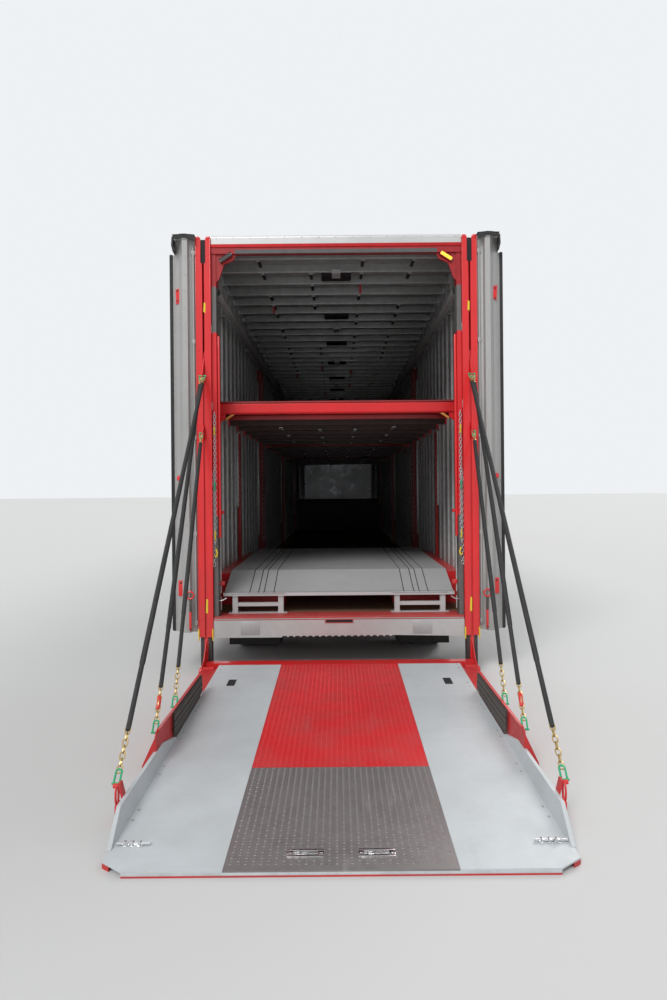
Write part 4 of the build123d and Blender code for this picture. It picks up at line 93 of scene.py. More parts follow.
def makeStudio(s):
    half = s["floorHalf"]
    mesh = bpy.data.meshes.new("studioFloor")
    mesh.from_pydata([(-half, -half, 0), (half, -half, 0), (half, half, 0), (-half, half, 0)], [],
                     [(0, 1, 2, 3)])
    floor = bpy.data.objects.new("studioFloor", mesh)
    scene.collection.objects.link(floor)
    mat = bpy.data.materials.new("studioFloor")
    mat.use_nodes = True
    shader = mat.node_tree.nodes["Principled BSDF"]
    shader.inputs["Base Color"].default_value = (*s["floorColor"], 1)
    shader.inputs["Roughness"].default_value = 0.85
    mesh.materials.append(mat)
    world = bpy.data.worlds.new("paleStudio")
    world.use_nodes = True
    scene.world = world
    tree = world.node_tree
    lit = tree.nodes["Background"]
    lit.inputs["Color"].default_value = (*s["worldColor"], 1)
    lit.inputs["Strength"].default_value = s["worldLight"]
    seen = tree.nodes.new("ShaderNodeBackground")
    seen.inputs["Color"].default_value = (*s["worldColor"], 1)
    seen.inputs["Strength"].default_value = s["skyView"]
    path = tree.nodes.new("ShaderNodeLightPath")
    either = tree.nodes.new("ShaderNodeMath")
    either.operation = "MAXIMUM"
    mix = tree.nodes.new("ShaderNodeMixShader")
    tree.links.new(path.outputs["Is Camera Ray"], either.inputs[0])
    tree.links.new(path.outputs["Is Glossy Ray"], either.inputs[1])
    tree.links.new(either.outputs[0], mix.inputs["Fac"])
    tree.links.new(lit.outputs[0], mix.inputs[1])
    tree.links.new(seen.outputs[0], mix.inputs[2])
    tree.links.new(mix.outputs[0], tree.nodes["World Output"].inputs["Surface"])
    for name, direction, strength in (
        ("keySun", (-0.35, -0.75, 0.8), s["sunStrength"]),
        ("frontSun", (0.5, 0.8, 0.7), s["sunStrength"] * 0.6),
    ):
        light = bpy.data.lights.new(name, "SUN")
        light.energy = strength
        light.angle = math.radians(s["sunAngle"])
        lamp = bpy.data.objects.new(name, light)
        lamp.rotation_mode = "QUATERNION"
        lamp.rotation_quaternion = Vector(direction).to_track_quat("Z", "Y")
        scene.collection.objects.link(lamp)


makeStudio(studioSettings)
scene.view_settings.view_transform = "Standard"
print("camera, floor and light ready")


# Shared effects as node groups
def newGroup(name, inputs, outputs, kindOfTree="ShaderNodeTree"):
    group = bpy.data.node_groups.new(name, kindOfTree)
    for label, kind, value in inputs:
        made = group.interface.new_socket(label, in_out="INPUT", socket_type=kind)
        if value is not None:
            made.default_value = value
    for label, kind in outputs:
        group.interface.new_socket(label, in_out="OUTPUT", socket_type=kind)
    return group, group.nodes.new("NodeGroupInput").outputs, group.nodes.new("NodeGroupOutput").inputs


def mathNode(tree, operation, a, b=None, clamp=False):
    node = tree.nodes.new("ShaderNodeMath")
    node.operation = operation
    node.use_clamp = clamp
    for slot, value in ((0, a), (1, b)):
        if value is None:
            continue
        if isinstance(value, (int, float)):
            node.inputs[slot].default_value = value
        else:
            tree.links.new(value, node.inputs[slot])
    return node.outputs[0]


def vectorNode(tree, operation, a, b):
    node = tree.nodes.new("ShaderNodeVectorMath")
    node.operation = operation
    tree.links.new(a, node.inputs[0])
    tree.links.new(b, node.inputs["Scale" if operation == "SCALE" else 1])
    return node.outputs[0]


def combineNode(tree, **values):
    node = tree.nodes.new("ShaderNodeCombineXYZ")
    for label, value in values.items():
        tree.links.new(value, node.inputs[label])
    return node.outputs[0]


def rampNode(tree, value, low, high, start=0.0, end=1.0):
    node = tree.nodes.new("ShaderNodeMapRange")
    node.interpolation_type = "SMOOTHSTEP"
    tree.links.new(value, node.inputs["Value"])
    for label, number in (("From Min", low), ("From Max", high), ("To Min", start), ("To Max", end)):
        node.inputs[label].default_value = number
    return node.outputs["Result"]


def noiseNode(tree, vector, scale, detail, roughness):
    node = tree.nodes.new("ShaderNodeTexNoise")
    node.inputs["Detail"].default_value = detail
    node.inputs["Roughness"].default_value = roughness
    tree.links.new(vector, node.inputs["Vector"])
    if isinstance(scale, (int, float)):
        node.inputs["Scale"].default_value = scale
    else:
        tree.links.new(scale, node.inputs["Scale"])
    return node.outputs["Fac"]


def makeMottleGroup():
    # Broad and fine blotches of a surface that has stood outdoors
    group, given, result = newGroup(
        "weatherMottle",
        [("Vector", "NodeSocketVector", None), ("Scale", "NodeSocketFloat", 2.0)],
        [("Broad", "NodeSocketFloat"), ("Fine", "NodeSocketFloat"), ("Specks", "NodeSocketFloat")],
    )
    broad = noiseNode(group, given["Vector"], given["Scale"], 4.0, 0.55)
    fineScale = mathNode(group, "MULTIPLY", given["Scale"], 11.0)
    fine = noiseNode(group, given["Vector"], fineScale, 5.0, 0.65)
    speckScale = mathNode(group, "MULTIPLY", given["Scale"], 60.0)
    specks = noiseNode(group, given["Vector"], speckScale, 2.0, 0.5)
    group.links.new(rampNode(group, broad, 0.3, 0.7), result["Broad"])
    group.links.new(rampNode(group, fine, 0.3, 0.7), result["Fine"])
    group.links.new(rampNode(group, specks, 0.62, 0.72), result["Specks"])
    return group


def makeDirtGroup():
    # Road dirt: thick near the ground, thin with height, broken up by noise
    group, given, result = newGroup(
        "roadDirt",
        [("Vector", "NodeSocketVector", None), ("Reach", "NodeSocketFloat", 1.2),
         ("Amount", "NodeSocketFloat", 0.5)],
        [("Mask", "NodeSocketFloat")],
    )
    parts = group.nodes.new("ShaderNodeSeparateXYZ")
    group.links.new(given["Vector"], parts.inputs[0])
    height = mathNode(group, "DIVIDE", parts.outputs["Z"], given["Reach"])
    low = mathNode(group, "SUBTRACT", 1.0, height, clamp=True)
    blotch = noiseNode(group, given["Vector"], 3.5, 6.0, 0.6)
    broken = mathNode(group, "MULTIPLY", low, rampNode(group, blotch, 0.35, 0.75, 0.25, 1.0))
    group.links.new(mathNode(group, "MULTIPLY", broken, given["Amount"], clamp=True), result["Mask"])
    return group


def makeScratchGroup():
    # Long rubs along one way of the surface; Stretch divides the axis that the rubs follow
    group, given, result = newGroup(
        "rubMarks",
        [("Vector", "NodeSocketVector", None), ("Stretch", "NodeSocketVector", (1.0, 1.0, 1.0)),
         ("Amount", "NodeSocketFloat", 0.5)],
        [("Mask", "NodeSocketFloat")],
    )
    scaled = vectorNode(group, "MULTIPLY", given["Vector"], given["Stretch"])
    lines = noiseNode(group, scaled, 14.0, 4.0, 0.6)
    mask = rampNode(group, lines, 0.6, 0.75)
    group.links.new(mathNode(group, "MULTIPLY", mask, given["Amount"], clamp=True), result["Mask"])
    return group


mottleGroup = makeMottleGroup()
dirtGroup = makeDirtGroup()
scratchGroup = makeScratchGroup()


def startMaterial(name, color, roughness, metallic=0.0):
    mat = bpy.data.materials.new(name)
    mat.use_nodes = True
    tree = mat.node_tree
    shader = tree.nodes["Principled BSDF"]
    shader.inputs["Base Color"].default_value = (*color, 1)
    shader.inputs["Roughness"].default_value = roughness
    shader.inputs["Metallic"].default_value = metallic
    coords = tree.nodes.new("ShaderNodeTexCoord").outputs["Object"]
    return mat, tree, shader, coords


def placeGroup(tree, group, coords, **values):
    node = tree.nodes.new("ShaderNodeGroup")
    node.node_tree = group
    tree.links.new(coords, node.inputs["Vector"])
    for label, value in values.items():
        node.inputs[label].default_value = value
    return node.outputs


def mixColor(tree, factor, a, b):
    node = tree.nodes.new("ShaderNodeMix")
    node.data_type = "RGBA"
    slots = {"factor": node.inputs[0], "a": node.inputs[6], "b": node.inputs[7]}
    for label, value in (("factor", factor), ("a", a), ("b", b)):
        if isinstance(value, (int, float)):
            slots[label].default_value = value
        elif isinstance(value, tuple):
            slots[label].default_value = (*value, 1)
        else:
            tree.links.new(value, slots[label])
    return node.outputs[2]


def bumpNode(tree, height, strength, distance):
    node = tree.nodes.new("ShaderNodeBump")
    node.inputs["Strength"].default_value = strength
    node.inputs["Distance"].default_value = distance
    tree.links.new(height, node.inputs["Height"])
    return node.outputs["Normal"]


def weathered(name, color, roughness, metallic=0.0, scale=1.5, shade=0.88, dirt=0.35, reach=1.2,
              dirtColor=(0.16, 0.14, 0.12), rub=0.0, rubColor=(0.5, 0.5, 0.5), stretch=(1, 1, 1),
              grain=0.0, roughSpread=0.12, coat=0.0):
    # A finish with mottling, road dirt and rub marks over one main colour
    mat, tree, shader, coords = startMaterial(name, color, roughness, metallic)
    calc = partial(mathNode, tree)
    mottle = placeGroup(tree, mottleGroup, coords, Scale=scale)
    dirtMask = placeGroup(tree, dirtGroup, coords, Reach=reach, Amount=dirt)["Mask"]
    dark = tuple(c * shade for c in color)
    base = mixColor(tree, mottle["Broad"], dark, color)
    base = mixColor(tree, calc("MULTIPLY", mottle["Fine"], 0.3), base, dark)
    if rub:
        marks = placeGroup(tree, scratchGroup, coords, Stretch=stretch, Amount=rub)["Mask"]
        base = mixColor(tree, marks, base, rubColor)
    base = mixColor(tree, dirtMask, base, dirtColor)
    tree.links.new(base, shader.inputs["Base Color"])
    spread = calc("MULTIPLY", mottle["Fine"], roughSpread)
    rough = calc("ADD", spread, roughness - roughSpread / 2)
    rough = calc("ADD", rough, calc("MULTIPLY", dirtMask, 0.4), clamp=True)
    tree.links.new(rough, shader.inputs["Roughness"])
    if coat:
        shader.inputs["Coat Weight"].default_value = coat
        shader.inputs["Coat Roughness"].default_value = 0.08
    if grain:
        tree.links.new(bumpNode(tree, mottle["Specks"], grain, 0.002), shader.inputs["Normal"])
    return mat


silverOut = (0.56, 0.57, 0.59)
redWorn = (0.5, 0.014, 0.018)
panelPale = (0.58, 0.61, 0.63)
finishRows = {
    # slot, colour, roughness, metallic and what differs from the defaults above; the first finish
    # of a slot is the one that the solids get
    "paintRed": ("paint_red", (0.78, 0.018, 0.022), 0.34, 0.0, dict(
        dirt=0.25, rub=0.16, rubColor=(0.42, 0.05, 0.05), stretch=(1, 1, 0.08), coat=0.25, grain=0.05)),
    "treadRed": ("paint_red", (0.74, 0.012, 0.02), 0.42, 0.0, dict(
        dirt=0.3, reach=0.6, rub=0.3, rubColor=(0.5, 0.1, 0.1), stretch=(1, 0.1, 1), grain=0.1)),
    "cabRed": ("paint_red", (0.62, 0.012, 0.016), 0.22, 0.0,
               dict(dirt=0.3, reach=1.4, coat=0.7, roughSpread=0.05)),
    "deckWhite": ("paint_white", (0.62, 0.66, 0.68), 0.42, 0.0, dict(
        dirt=0.16, reach=0.7, rub=0.22, rubColor=(0.42, 0.43, 0.43), stretch=(1, 0.05, 1), grain=0.12,
        scale=1.1)),
    "sheetSilver": ("aluminium_sheet", silverOut, 0.32, 0.5,
                    dict(dirt=0.45, reach=1.6, rub=0.1, stretch=(1, 1, 0.1), scale=0.6)),
    "deckSteel": ("aluminium_sheet", (0.55, 0.555, 0.555), 0.4, 0.2, dict(
        dirt=0.1, rub=0.25, rubColor=(0.4, 0.39, 0.38), stretch=(1, 0.05, 1))),
    "treadSteel": ("tread_steel", (0.3, 0.28, 0.28), 0.38, 0.55, dict(
        dirt=0.3, reach=0.5, rub=0.4, rubColor=(0.5, 0.47, 0.46), stretch=(1, 0.15, 1), grain=0.2)),
    "doorSilver": ("door_silver", (0.43, 0.43, 0.42), 0.5, 0.25, dict(
        dirt=0.3, rub=0.3, rubColor=(0.5, 0.48, 0.46), stretch=(1, 1, 0.06))),
    "perforated": ("aluminium_sheet", (0.5, 0.51, 0.52), 0.4, 0.55, dict(dirt=0.1, scale=2.5)),
    "postRed": ("paint_red", (0.34, 0.012, 0.014), 0.45, 0.0, dict(dirt=0.1, shade=0.6)),
    "gussetRed": ("paint_red", (0.42, 0.012, 0.014), 0.4, 0.0, dict(dirt=0.1)),
    "steelDark": ("steel_dark", (0.035, 0.036, 0.038), 0.5, 0.3, dict(
        dirt=0.6, reach=1.3, dirtColor=(0.13, 0.115, 0.1), grain=0.15)),
    # near-black for black rims, housings and joint lines, and painted shade where holes, slots, recesses and
    # notches are
    "holeDark": ("steel_dark", (0.012, 0.012, 0.013), 0.8, 0.0, dict(dirt=0.0)),
    "strapRed": ("paint_red", (0.55, 0.03, 0.035), 0.75, 0.0, dict(dirt=0.2, grain=0.4)),
    "tubeWhite": ("aluminium_sheet", (0.62, 0.63, 0.63), 0.45, 0.0, dict(
        dirt=0.3, rub=0.3, rubColor=(0.25, 0.24, 0.23), stretch=(1, 1, 0.2))),
    "innerSilver": ("aluminium_sheet", (0.4, 0.41, 0.42), 0.42, 0.5,
                    dict(dirt=0.2, rub=0.2, stretch=(1, 1, 0.1))),
    "dullAluminium": ("aluminium_dull", (0.5, 0.49, 0.49), 0.42, 0.6, dict(
        dirt=0.3, rub=0.35, rubColor=(0.62, 0.6, 0.6), stretch=(0.1, 1, 1))),
    "polishedAluminium": ("polished_aluminium", (0.78, 0.79, 0.8), 0.16, 1.0,
                          dict(dirt=0.25, roughSpread=0.08, shade=0.95)),
    "chrome": ("chrome", (0.84, 0.85, 0.86), 0.08, 1.0, dict(dirt=0.2, roughSpread=0.05, shade=0.96)),
    "castIron": ("cast_iron", (0.1, 0.1, 0.105), 0.6, 0.4, dict(dirt=0.6, grain=0.3)),
    "rubberBlack": ("rubber_black", (0.02, 0.02, 0.021), 0.7, 0.0,
                    dict(dirt=0.25, dirtColor=(0.12, 0.11, 0.1), grain=0.15)),
    "wornRubber": ("rubber_black", (0.085, 0.08, 0.072), 0.75, 0.0, dict(
        dirt=0.3, rub=0.5, reach=0.5, rubColor=(0.16, 0.14, 0.12), stretch=(1, 0.05, 1), grain=0.2)),
    "tyreRubber": ("tyre", (0.022, 0.022, 0.023), 0.78, 0.0, dict(
        dirt=0.5, reach=1.1, dirtColor=(0.11, 0.1, 0.09), grain=0.2)),
    "cabTrim": ("cab_trim", (0.12, 0.12, 0.13), 0.85, 0.0, dict(dirt=0.0, grain=0.4)),
    "floorWood": ("floor_wood", (0.2, 0.12, 0.07), 0.7, 0.0, dict(
        dirt=0.2, rub=0.5, rubColor=(0.1, 0.06, 0.04), stretch=(1, 0.06, 1))),
    "markerYellow": ("paint_red", (0.85, 0.62, 0.03), 0.4, 0.0, dict(dirt=0.1)),
    "shackleGreen": ("shackle_green", (0.02, 0.42, 0.18), 0.4, 0.2, dict(dirt=0.1)),
    "chainGold": ("chain_gold", (0.6, 0.45, 0.2), 0.35, 0.9, dict(dirt=0.1)),
    "sillRed": ("paint_red", (0.5, 0.05, 0.045), 0.5, 0.0, dict(
        dirt=0.35, reach=0.9, rub=0.7, rubColor=(0.42, 0.28, 0.25), stretch=(0.3, 1, 1))),
    "cornerAmber": ("paint_red", (0.72, 0.3, 0.06), 0.5, 0.0, dict(dirt=0.0)),
    "lampClear": ("lamp_clear", (0.75, 0.77, 0.8), 0.1, 0.0, dict(dirt=0.0, coat=0.6)),
    "lampSmoke": ("lamp_clear", (0.06, 0.045, 0.045), 0.18, 0.0, dict(dirt=0.0, coat=0.5)),
    "lampGlow": ("lamp_clear", (1.0, 0.32, 0.03), 0.2, 0.0, dict(dirt=0.0, coat=0.5)),
    "mirrorFace": ("chrome", (0.75, 0.78, 0.8), 0.04, 1.0, dict(dirt=0.0, roughSpread=0.02, shade=0.97)),
    "glassTinted": ("lamp_clear", (0.28, 0.32, 0.33), 0.04, 0.0,
                    dict(dirt=0.0, roughSpread=0.02, shade=0.95)),
    "lampAmber": ("lamp_clear", (0.95, 0.3, 0.02), 0.15, 0.0, dict(dirt=0.0, coat=0.6)),
    "lampRed": ("lamp_clear", (0.55, 0.01, 0.01), 0.15, 0.0, dict(dirt=0.0, coat=0.6)),
}
finishes = {name: weathered(name, *values, **more) for name, (_, *values, more) in finishRows.items()}
glass = finishes["glassTinted"].node_tree.nodes["Principled BSDF"]
glass.inputs["Transmission Weight"].default_value = 0.82
glow = finishes["lampGlow"].node_tree.nodes["Principled BSDF"]
glow.inputs["Emission Color"].default_value = (1.0, 0.3, 0.02, 1)
glow.inputs["Emission Strength"].default_value = 2.2


def banded(name, outside, roughness, metallic, layers, deckPitch=None, **more):
    # A finish with other colours in zones; a zone holds where all its (axis, edge, side) rows do
    mat = weathered(name, outside, roughness, metallic, **more)
    tree = mat.node_tree
    calc = partial(mathNode, tree)
    shader = tree.nodes["Principled BSDF"]
    coords = tree.nodes.new("ShaderNodeTexCoord").outputs["Object"]
    parts = tree.nodes.new("ShaderNodeSeparateXYZ")
    tree.links.new(coords, parts.inputs[0])
    blotch = placeGroup(tree, mottleGroup, coords, Scale=1.2)
    base = shader.inputs["Base Color"].links[0].from_socket
    soft = 0.003
    for inside, rows in layers:
        mask = None
        for axis, edge, way in rows:
            value = parts.outputs[axis.upper()[-1]]
            if axis.startswith("abs"):
                value = calc("ABSOLUTE", value)
            if deckPitch and axis == "y":
                # distance from the rear edge of whichever upper deck this is
                value = calc("MODULO", calc("ADD", value, deckPitch[0]), deckPitch[1])
            one = rampNode(tree, value, edge - soft * way, edge + soft * way)
            mask = one if mask is None else calc("MULTIPLY", mask, one)
        inner = mixColor(tree, blotch["Fine"], inside, tuple(c * 0.8 for c in inside))
        base = mixColor(tree, mask, base, inner)
    tree.links.new(base, shader.inputs["Base Color"])
    return mat


bandedRows = {
    # colour outside, roughness, metallic, zones and what differs from the defaults
    # inner face (|x| under 1.288) gets its own tone, raised to make up for the dim load space: painted light
    "wallSheet": (silverOut, 0.34, 0.35, [((0.52, 0.525, 0.52), [("absX", 1.288, -1)])],
                  dict(dirt=0.45, reach=1.6, scale=0.6)),
    "roofSheet": (silverOut, 0.36, 0.3, [
        # inside of the roof painted darker than its outside: painted shade under the roof
        ((0.3, 0.31, 0.305), [("z", 4.068, -1), ("absX", 1.25, -1)]),
        # undersides of the bows painted lighter: painted highlight where light catches them
        ((0.62, 0.63, 0.63), [("z", 3.996, -1)]),
    ], dict(dirt=0.1, scale=0.6)),
    "rearSilver": ((0.6, 0.6, 0.59), 0.4, 0.55, [
        (redWorn, [("z", 4.012, -1), ("z", 3.4, 1)]),
        (redWorn, [("z", 0.489, 1), ("z", 0.7, -1)]),
    ], dict(dirt=0.3)),
    "jambRed": ((0.74, 0.02, 0.026), 0.38, 0.0, [
        ((0.13, 0.125, 0.12), [("z", 1.46, -1)]),
        ((0.15, 0.15, 0.145), [("z", 3.19, 1), ("z", 3.62, -1)]),
        ((0.4, 0.012, 0.016), [("z", 3.62, 1)]),
        ((0.1, 0.1, 0.1), [("z", 3.925, 1), ("z", 3.962, -1), ("absX", 0.95, -1)]),
    ], dict(dirt=0.35)),
    "deckRed": ((0.74, 0.016, 0.02), 0.38, 0.0, [
        ((0.06, 0.034, 0.03), [("z", 2.5605, -1), ("absX", 1.15, -1), ("y", 0.105, 1), ("y", 4.045, -1)]),
    ], dict(deckPitch=(9.168, 4.21), dirt=0.0, rub=0.25, rubColor=(0.4, 0.05, 0.05), stretch=(1, 0.05, 1))),
    "platformRed": ((0.62, 0.016, 0.02), 0.42, 0.0, [
        (panelPale, [("y", -12.72, -1), ("z", 0.009, 1), ("absX", 1.02, -1)]),
        (panelPale, [("y", -9.74, 1), ("absX", 0.525, 1), ("absX", 1.05, -1)]),
    ], dict(dirt=0.35, reach=0.4, grain=0.1)),
}
for name, (*values, more) in bandedRows.items():
    finishes[name] = banded(name, *values, **more)
slotFinish = {}
for name, (slot, *_) in finishRows.items():
    slotFinish.setdefault(slot, name)
nodeFinish = {
    "platform_tread_red": "treadRed", "wall_left": "wallSheet", "wall_right": "wallSheet",
    "roof": "roofSheet",
    "deck_posts": "postRed", "upper_deck_rear": "deckRed", "upper_deck_middle": "deckRed",
    "upper_deck_front": "deckRed", "rear_frame": "rearSilver", "rear_jambs": "jambRed",
    "platform_frame": "platformRed", "lower_deck": "deckSteel", "platform_rubbers": "wornRubber",
    "cab_shell": "cabRed", "cab_door_left": "cabRed", "cab_door_right": "cabRed", "bonnet": "cabRed",
}


def paint(obj, mat):
    obj.data.materials.clear()
    obj.data.materials.append(mat)


for subpart in frame["record"]["subparts"]:
    name = subpart["node"]
    paint(nodes[name], finishes[nodeFinish.get(name, slotFinish[subpart["material_slot"]])])
print("finishes made:", len(finishes))


# Mesh helpers; places are metres from the rear face of the lift masts
rearFace = -9.498
zero = (0.0, 0.0, 0.0)
facingRear = (math.pi / 2, 0, 0)
facingDown = (math.pi, 0, 0)
leftRight = (("left", -1), ("right", 1))


def facingSide(side):
    return (0, side * math.pi / 2, 0)


def place(x, y, z):
    return Vector((x, y + rearFace, z))


def around(middle, half):
    return (middle - half, middle + half)


def newMeshes(count):
    return (bmesh.new() for _ in range(count))


def addBox(bm, xs, ys, zs, bevel=0.0):
    # Block between two values on each axis, in either order
    low = place(min(xs), min(ys), min(zs))
    high = place(max(xs), max(ys), max(zs))
    corners = bmesh.ops.create_cube(bm, size=1.0)["verts"]
    for v in corners:
        v.co = Vector([low[i] + (high[i] - low[i]) * (v.co[i] + 0.5) for i in range(3)])
    if bevel:
        edges = list({e for v in corners for e in v.link_edges})
        bmesh.ops.bevel(bm, geom=edges, offset=bevel, segments=2, affect="EDGES", profile=0.5)


def frameOf(direction):
    along = direction.normalized()
    helper = Vector((0, 0, 1)) if abs(along.z) < 0.9 else Vector((1, 0, 0))
    across = along.cross(helper).normalized()
    return along, across, across.cross(along).normalized()


def circle(radius, segments, x=0.0, z=0.0):
    turns = [2 * math.pi * i / segments for i in range(segments)]
    return [(x + radius * math.cos(t), z + radius * math.sin(t)) for t in turns]


def ringVerts(bm, centre, across, over, radius, segments):
    return [bm.verts.new(centre + across * a + over * b) for a, b in circle(radius, segments)]


def joinRings(bm, rings, closed=False):
    # Skin between neighbouring rings; the last one meets the first, or both ends are capped
    for a, b in list(zip(rings, rings[1:])) + ([(rings[-1], rings[0])] if closed else []):
        for i in range(len(a)):
            j = (i + 1) % len(a)
            bm.faces.new((a[i], a[j], b[j], b[i]))
    if not closed:
        bm.faces.new(list(reversed(rings[0])))
        bm.faces.new(rings[-1])


def addTurned(bm, start, direction, rows, segments=24):
    # Rows are distance along the direction and radius
    along, across, over = frameOf(direction)
    joinRings(bm, [ringVerts(bm, start + along * distance, across, over, radius, segments)
                   for distance, radius in rows])


def addRod(bm, start, end, radius, segments=12):
    a, b = place(*start), place(*end)
    addTurned(bm, a, b - a, [(0, radius), ((b - a).length, radius)], segments)


def addPath(bm, points, radius, segments=8, closed=False):
    # Round bar through the points; a point that is a vector is in the shared frame already
    places = [p if isinstance(p, Vector) else place(*p) for p in points]
    count = len(places)
    rings = []
    side = None
    for i, p in enumerate(places):
        before = places[(i - 1) % count] if closed or i else p
        after = places[(i + 1) % count] if closed or i < count - 1 else p
        along = (after - before).normalized()
        if side is None:
            side = frameOf(along)[1]
        side = (side - along * side.dot(along)).normalized()
        rings.append(ringVerts(bm, p, side, along.cross(side), radius, segments))
    joinRings(bm, rings, closed)


def addPlate(bm, outline, offset):
    # Outline of places, thickened along the offset
    joinRings(bm, [[bm.verts.new(place(*p) + Vector(shift)) for p in outline] for shift in (zero, offset)])


def addRearPlate(bm, y, outline, depth):
    # Outline of x and z in the rear plane at y
    addPlate(bm, [(x, y, z) for x, z in outline], (0, depth, 0))


def addStrip(bm, x, half, start, end, thick):
    # Level strip between two (y, z) ends
    addPlate(bm, [(x - half, *start), (x + half, *start), (x + half, *end), (x - half, *end)],
             (0, 0, thick))


pieceCount = {"made": 0}


def finishPiece(name, bm, body, finish, slot=None):
    # Turns the mesh into a piece that rides on its body
    mesh = bpy.data.meshes.new(name)
    bmesh.ops.recalc_face_normals(bm, faces=bm.faces[:])
    bm.to_mesh(mesh)
    bm.free()
    obj = bpy.data.objects.new(name, mesh)
    scene.collection.objects.link(obj)
    mesh.materials.append(finishes[finish])
    mesh.polygons.foreach_set("use_smooth", [True] * len(mesh.polygons))
    mesh.set_sharp_from_angle(angle=math.radians(35))
    if body:
        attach(obj, body)
    slot = slot or finishRows[finish][0]
    pieceCount["made"] += 1
    return obj


def finishPieces(body, *rows):
    for name, bm, *finish in rows:
        finishPiece(name, bm, body, *finish)


# Geometry Nodes repeat a shape: one tree in rows and columns, one in rings round an axis
def setShapes(tree, given, result, count, spot, tilt, axis, turn):
    # The shape on every point, tilted and then turned about one of its own axes
    link = tree.links.new
    points = tree.nodes.new("GeometryNodePoints")
    link(count, points.inputs["Count"])
    link(spot, points.inputs["Position"])
    shape = tree.nodes.new("GeometryNodeObjectInfo")
    link(given["Shape"], shape.inputs["Object"])
    placed = tree.nodes.new("GeometryNodeInstanceOnPoints")
    link(points.outputs[0], placed.inputs["Points"])
    link(shape.outputs["Geometry"], placed.inputs["Instance"])
    both = tree.nodes.new("FunctionNodeRotateRotation")
    both.rotation_space = "LOCAL"
    for angles, label in ((tilt, "Rotation"), (combineNode(tree, **{axis: turn}), "Rotate By")):
        toRotation = tree.nodes.new("FunctionNodeEulerToRotation")
        link(angles, toRotation.inputs[0])
        link(toRotation.outputs[0], both.inputs[label])
    link(both.outputs[0], placed.inputs["Rotation"])
    real = tree.nodes.new("GeometryNodeRealizeInstances")
    link(placed.outputs[0], real.inputs[0])
    link(real.outputs[0], result[0])


def makeFieldTree():
    tree, given, result = newGroup("repeatField", [
        ("Shape", "NodeSocketObject", None), ("Start", "NodeSocketVector", zero),
        ("Step Along", "NodeSocketVector", (0.1, 0.0, 0.0)), ("Count Along", "NodeSocketInt", 2),
        ("Step Across", "NodeSocketVector", (0.0, 0.1, 0.0)), ("Count Across", "NodeSocketInt", 1),
        ("Tilt", "NodeSocketVector", zero), ("Turn Every Other", "NodeSocketFloat", 0.0),
    ], [("Geometry", "NodeSocketGeometry")], "GeometryNodeTree")
    calc = partial(mathNode, tree)
    number = tree.nodes.new("GeometryNodeInputIndex").outputs[0]
    column = calc("MODULO", number, given["Count Along"])
    row = calc("FLOOR", calc("DIVIDE", number, given["Count Along"]))
    spot = vectorNode(tree, "ADD", given["Start"], vectorNode(tree, "SCALE", given["Step Along"], column))
    spot = vectorNode(tree, "ADD", spot, vectorNode(tree, "SCALE", given["Step Across"], row))
    parity = calc("MODULO", calc("ADD", column, row), 2)
    turn = calc("MULTIPLY", parity, given["Turn Every Other"])
    count = calc("MULTIPLY", given["Count Along"], given["Count Across"])
    setShapes(tree, given, result, count, spot, given["Tilt"], "Z", turn)
    return tree


def makeRingTree():
    tree, given, result = newGroup("ringField", [
        ("Shape", "NodeSocketObject", None), ("Centre", "NodeSocketVector", zero),
        ("Radius", "NodeSocketFloat", 0.1), ("Count", "NodeSocketInt", 10),
        ("Phase", "NodeSocketFloat", 0.0),
        ("Axis Tilt", "NodeSocketVector", zero), ("Rows", "NodeSocketInt", 1),
        ("Row Step", "NodeSocketFloat", 0.05),
    ], [("Geometry", "NodeSocketGeometry")], "GeometryNodeTree")
    calc = partial(mathNode, tree)
    number = tree.nodes.new("GeometryNodeInputIndex").outputs[0]
    row = calc("FLOOR", calc("DIVIDE", number, given["Count"]))
    stagger = calc("MULTIPLY", calc("MODULO", row, 2), 0.5)
    shifted = calc("ADD", calc("ADD", number, stagger), given["Phase"])
    angle = calc("MULTIPLY", calc("DIVIDE", shifted, given["Count"]), 2 * math.pi)
    spot = combineNode(
        tree, X=calc("MULTIPLY", row, given["Row Step"]),
        Y=calc("MULTIPLY", calc("COSINE", angle), given["Radius"]),
        Z=calc("MULTIPLY", calc("SINE", angle), given["Radius"]))
    turned = tree.nodes.new("ShaderNodeVectorRotate")
    turned.rotation_type = "EULER_XYZ"
    tree.links.new(spot, turned.inputs["Vector"])
    tree.links.new(given["Axis Tilt"], turned.inputs["Rotation"])
    spot = vectorNode(tree, "ADD", turned.outputs[0], given["Centre"])
    count = calc("MULTIPLY", given["Count"], given["Rows"])
    setShapes(tree, given, result, count, spot, given["Axis Tilt"], "X", angle)
    return tree


fieldTree = makeFieldTree()
ringTree = makeRingTree()


def repeatInto(bm, tree, shape, values):
    # Adds the shape, repeated by the tree, to the mesh
    carrier = bpy.data.objects.new("repeatCarrier", bpy.data.meshes.new("repeatCarrier"))
    scene.collection.objects.link(carrier)
    modifier = carrier.modifiers.new("repeat", "NODES")
    modifier.node_group = tree
    named = {item.name: item.identifier for item in tree.interface.items_tree if item.in_out == "INPUT"}
    modifier[named["Shape"]] = shape
    for label, value in values.items():
        modifier[named[label]] = value
    bpy.context.view_layer.update()
    ready = carrier.evaluated_get(bpy.context.evaluated_depsgraph_get())
    mesh = bpy.data.meshes.new_from_object(ready)
    carrier.modifiers.clear()
    bpy.data.objects.remove(carrier)
    bm.from_mesh(mesh)
    bpy.data.meshes.remove(mesh)


def shapeObject(name, bm):
    mesh = bpy.data.meshes.new(name)
    bm.to_mesh(mesh)
    bm.free()
    obj = bpy.data.objects.new(name, mesh)
    scene.collection.objects.link(obj)
    return obj


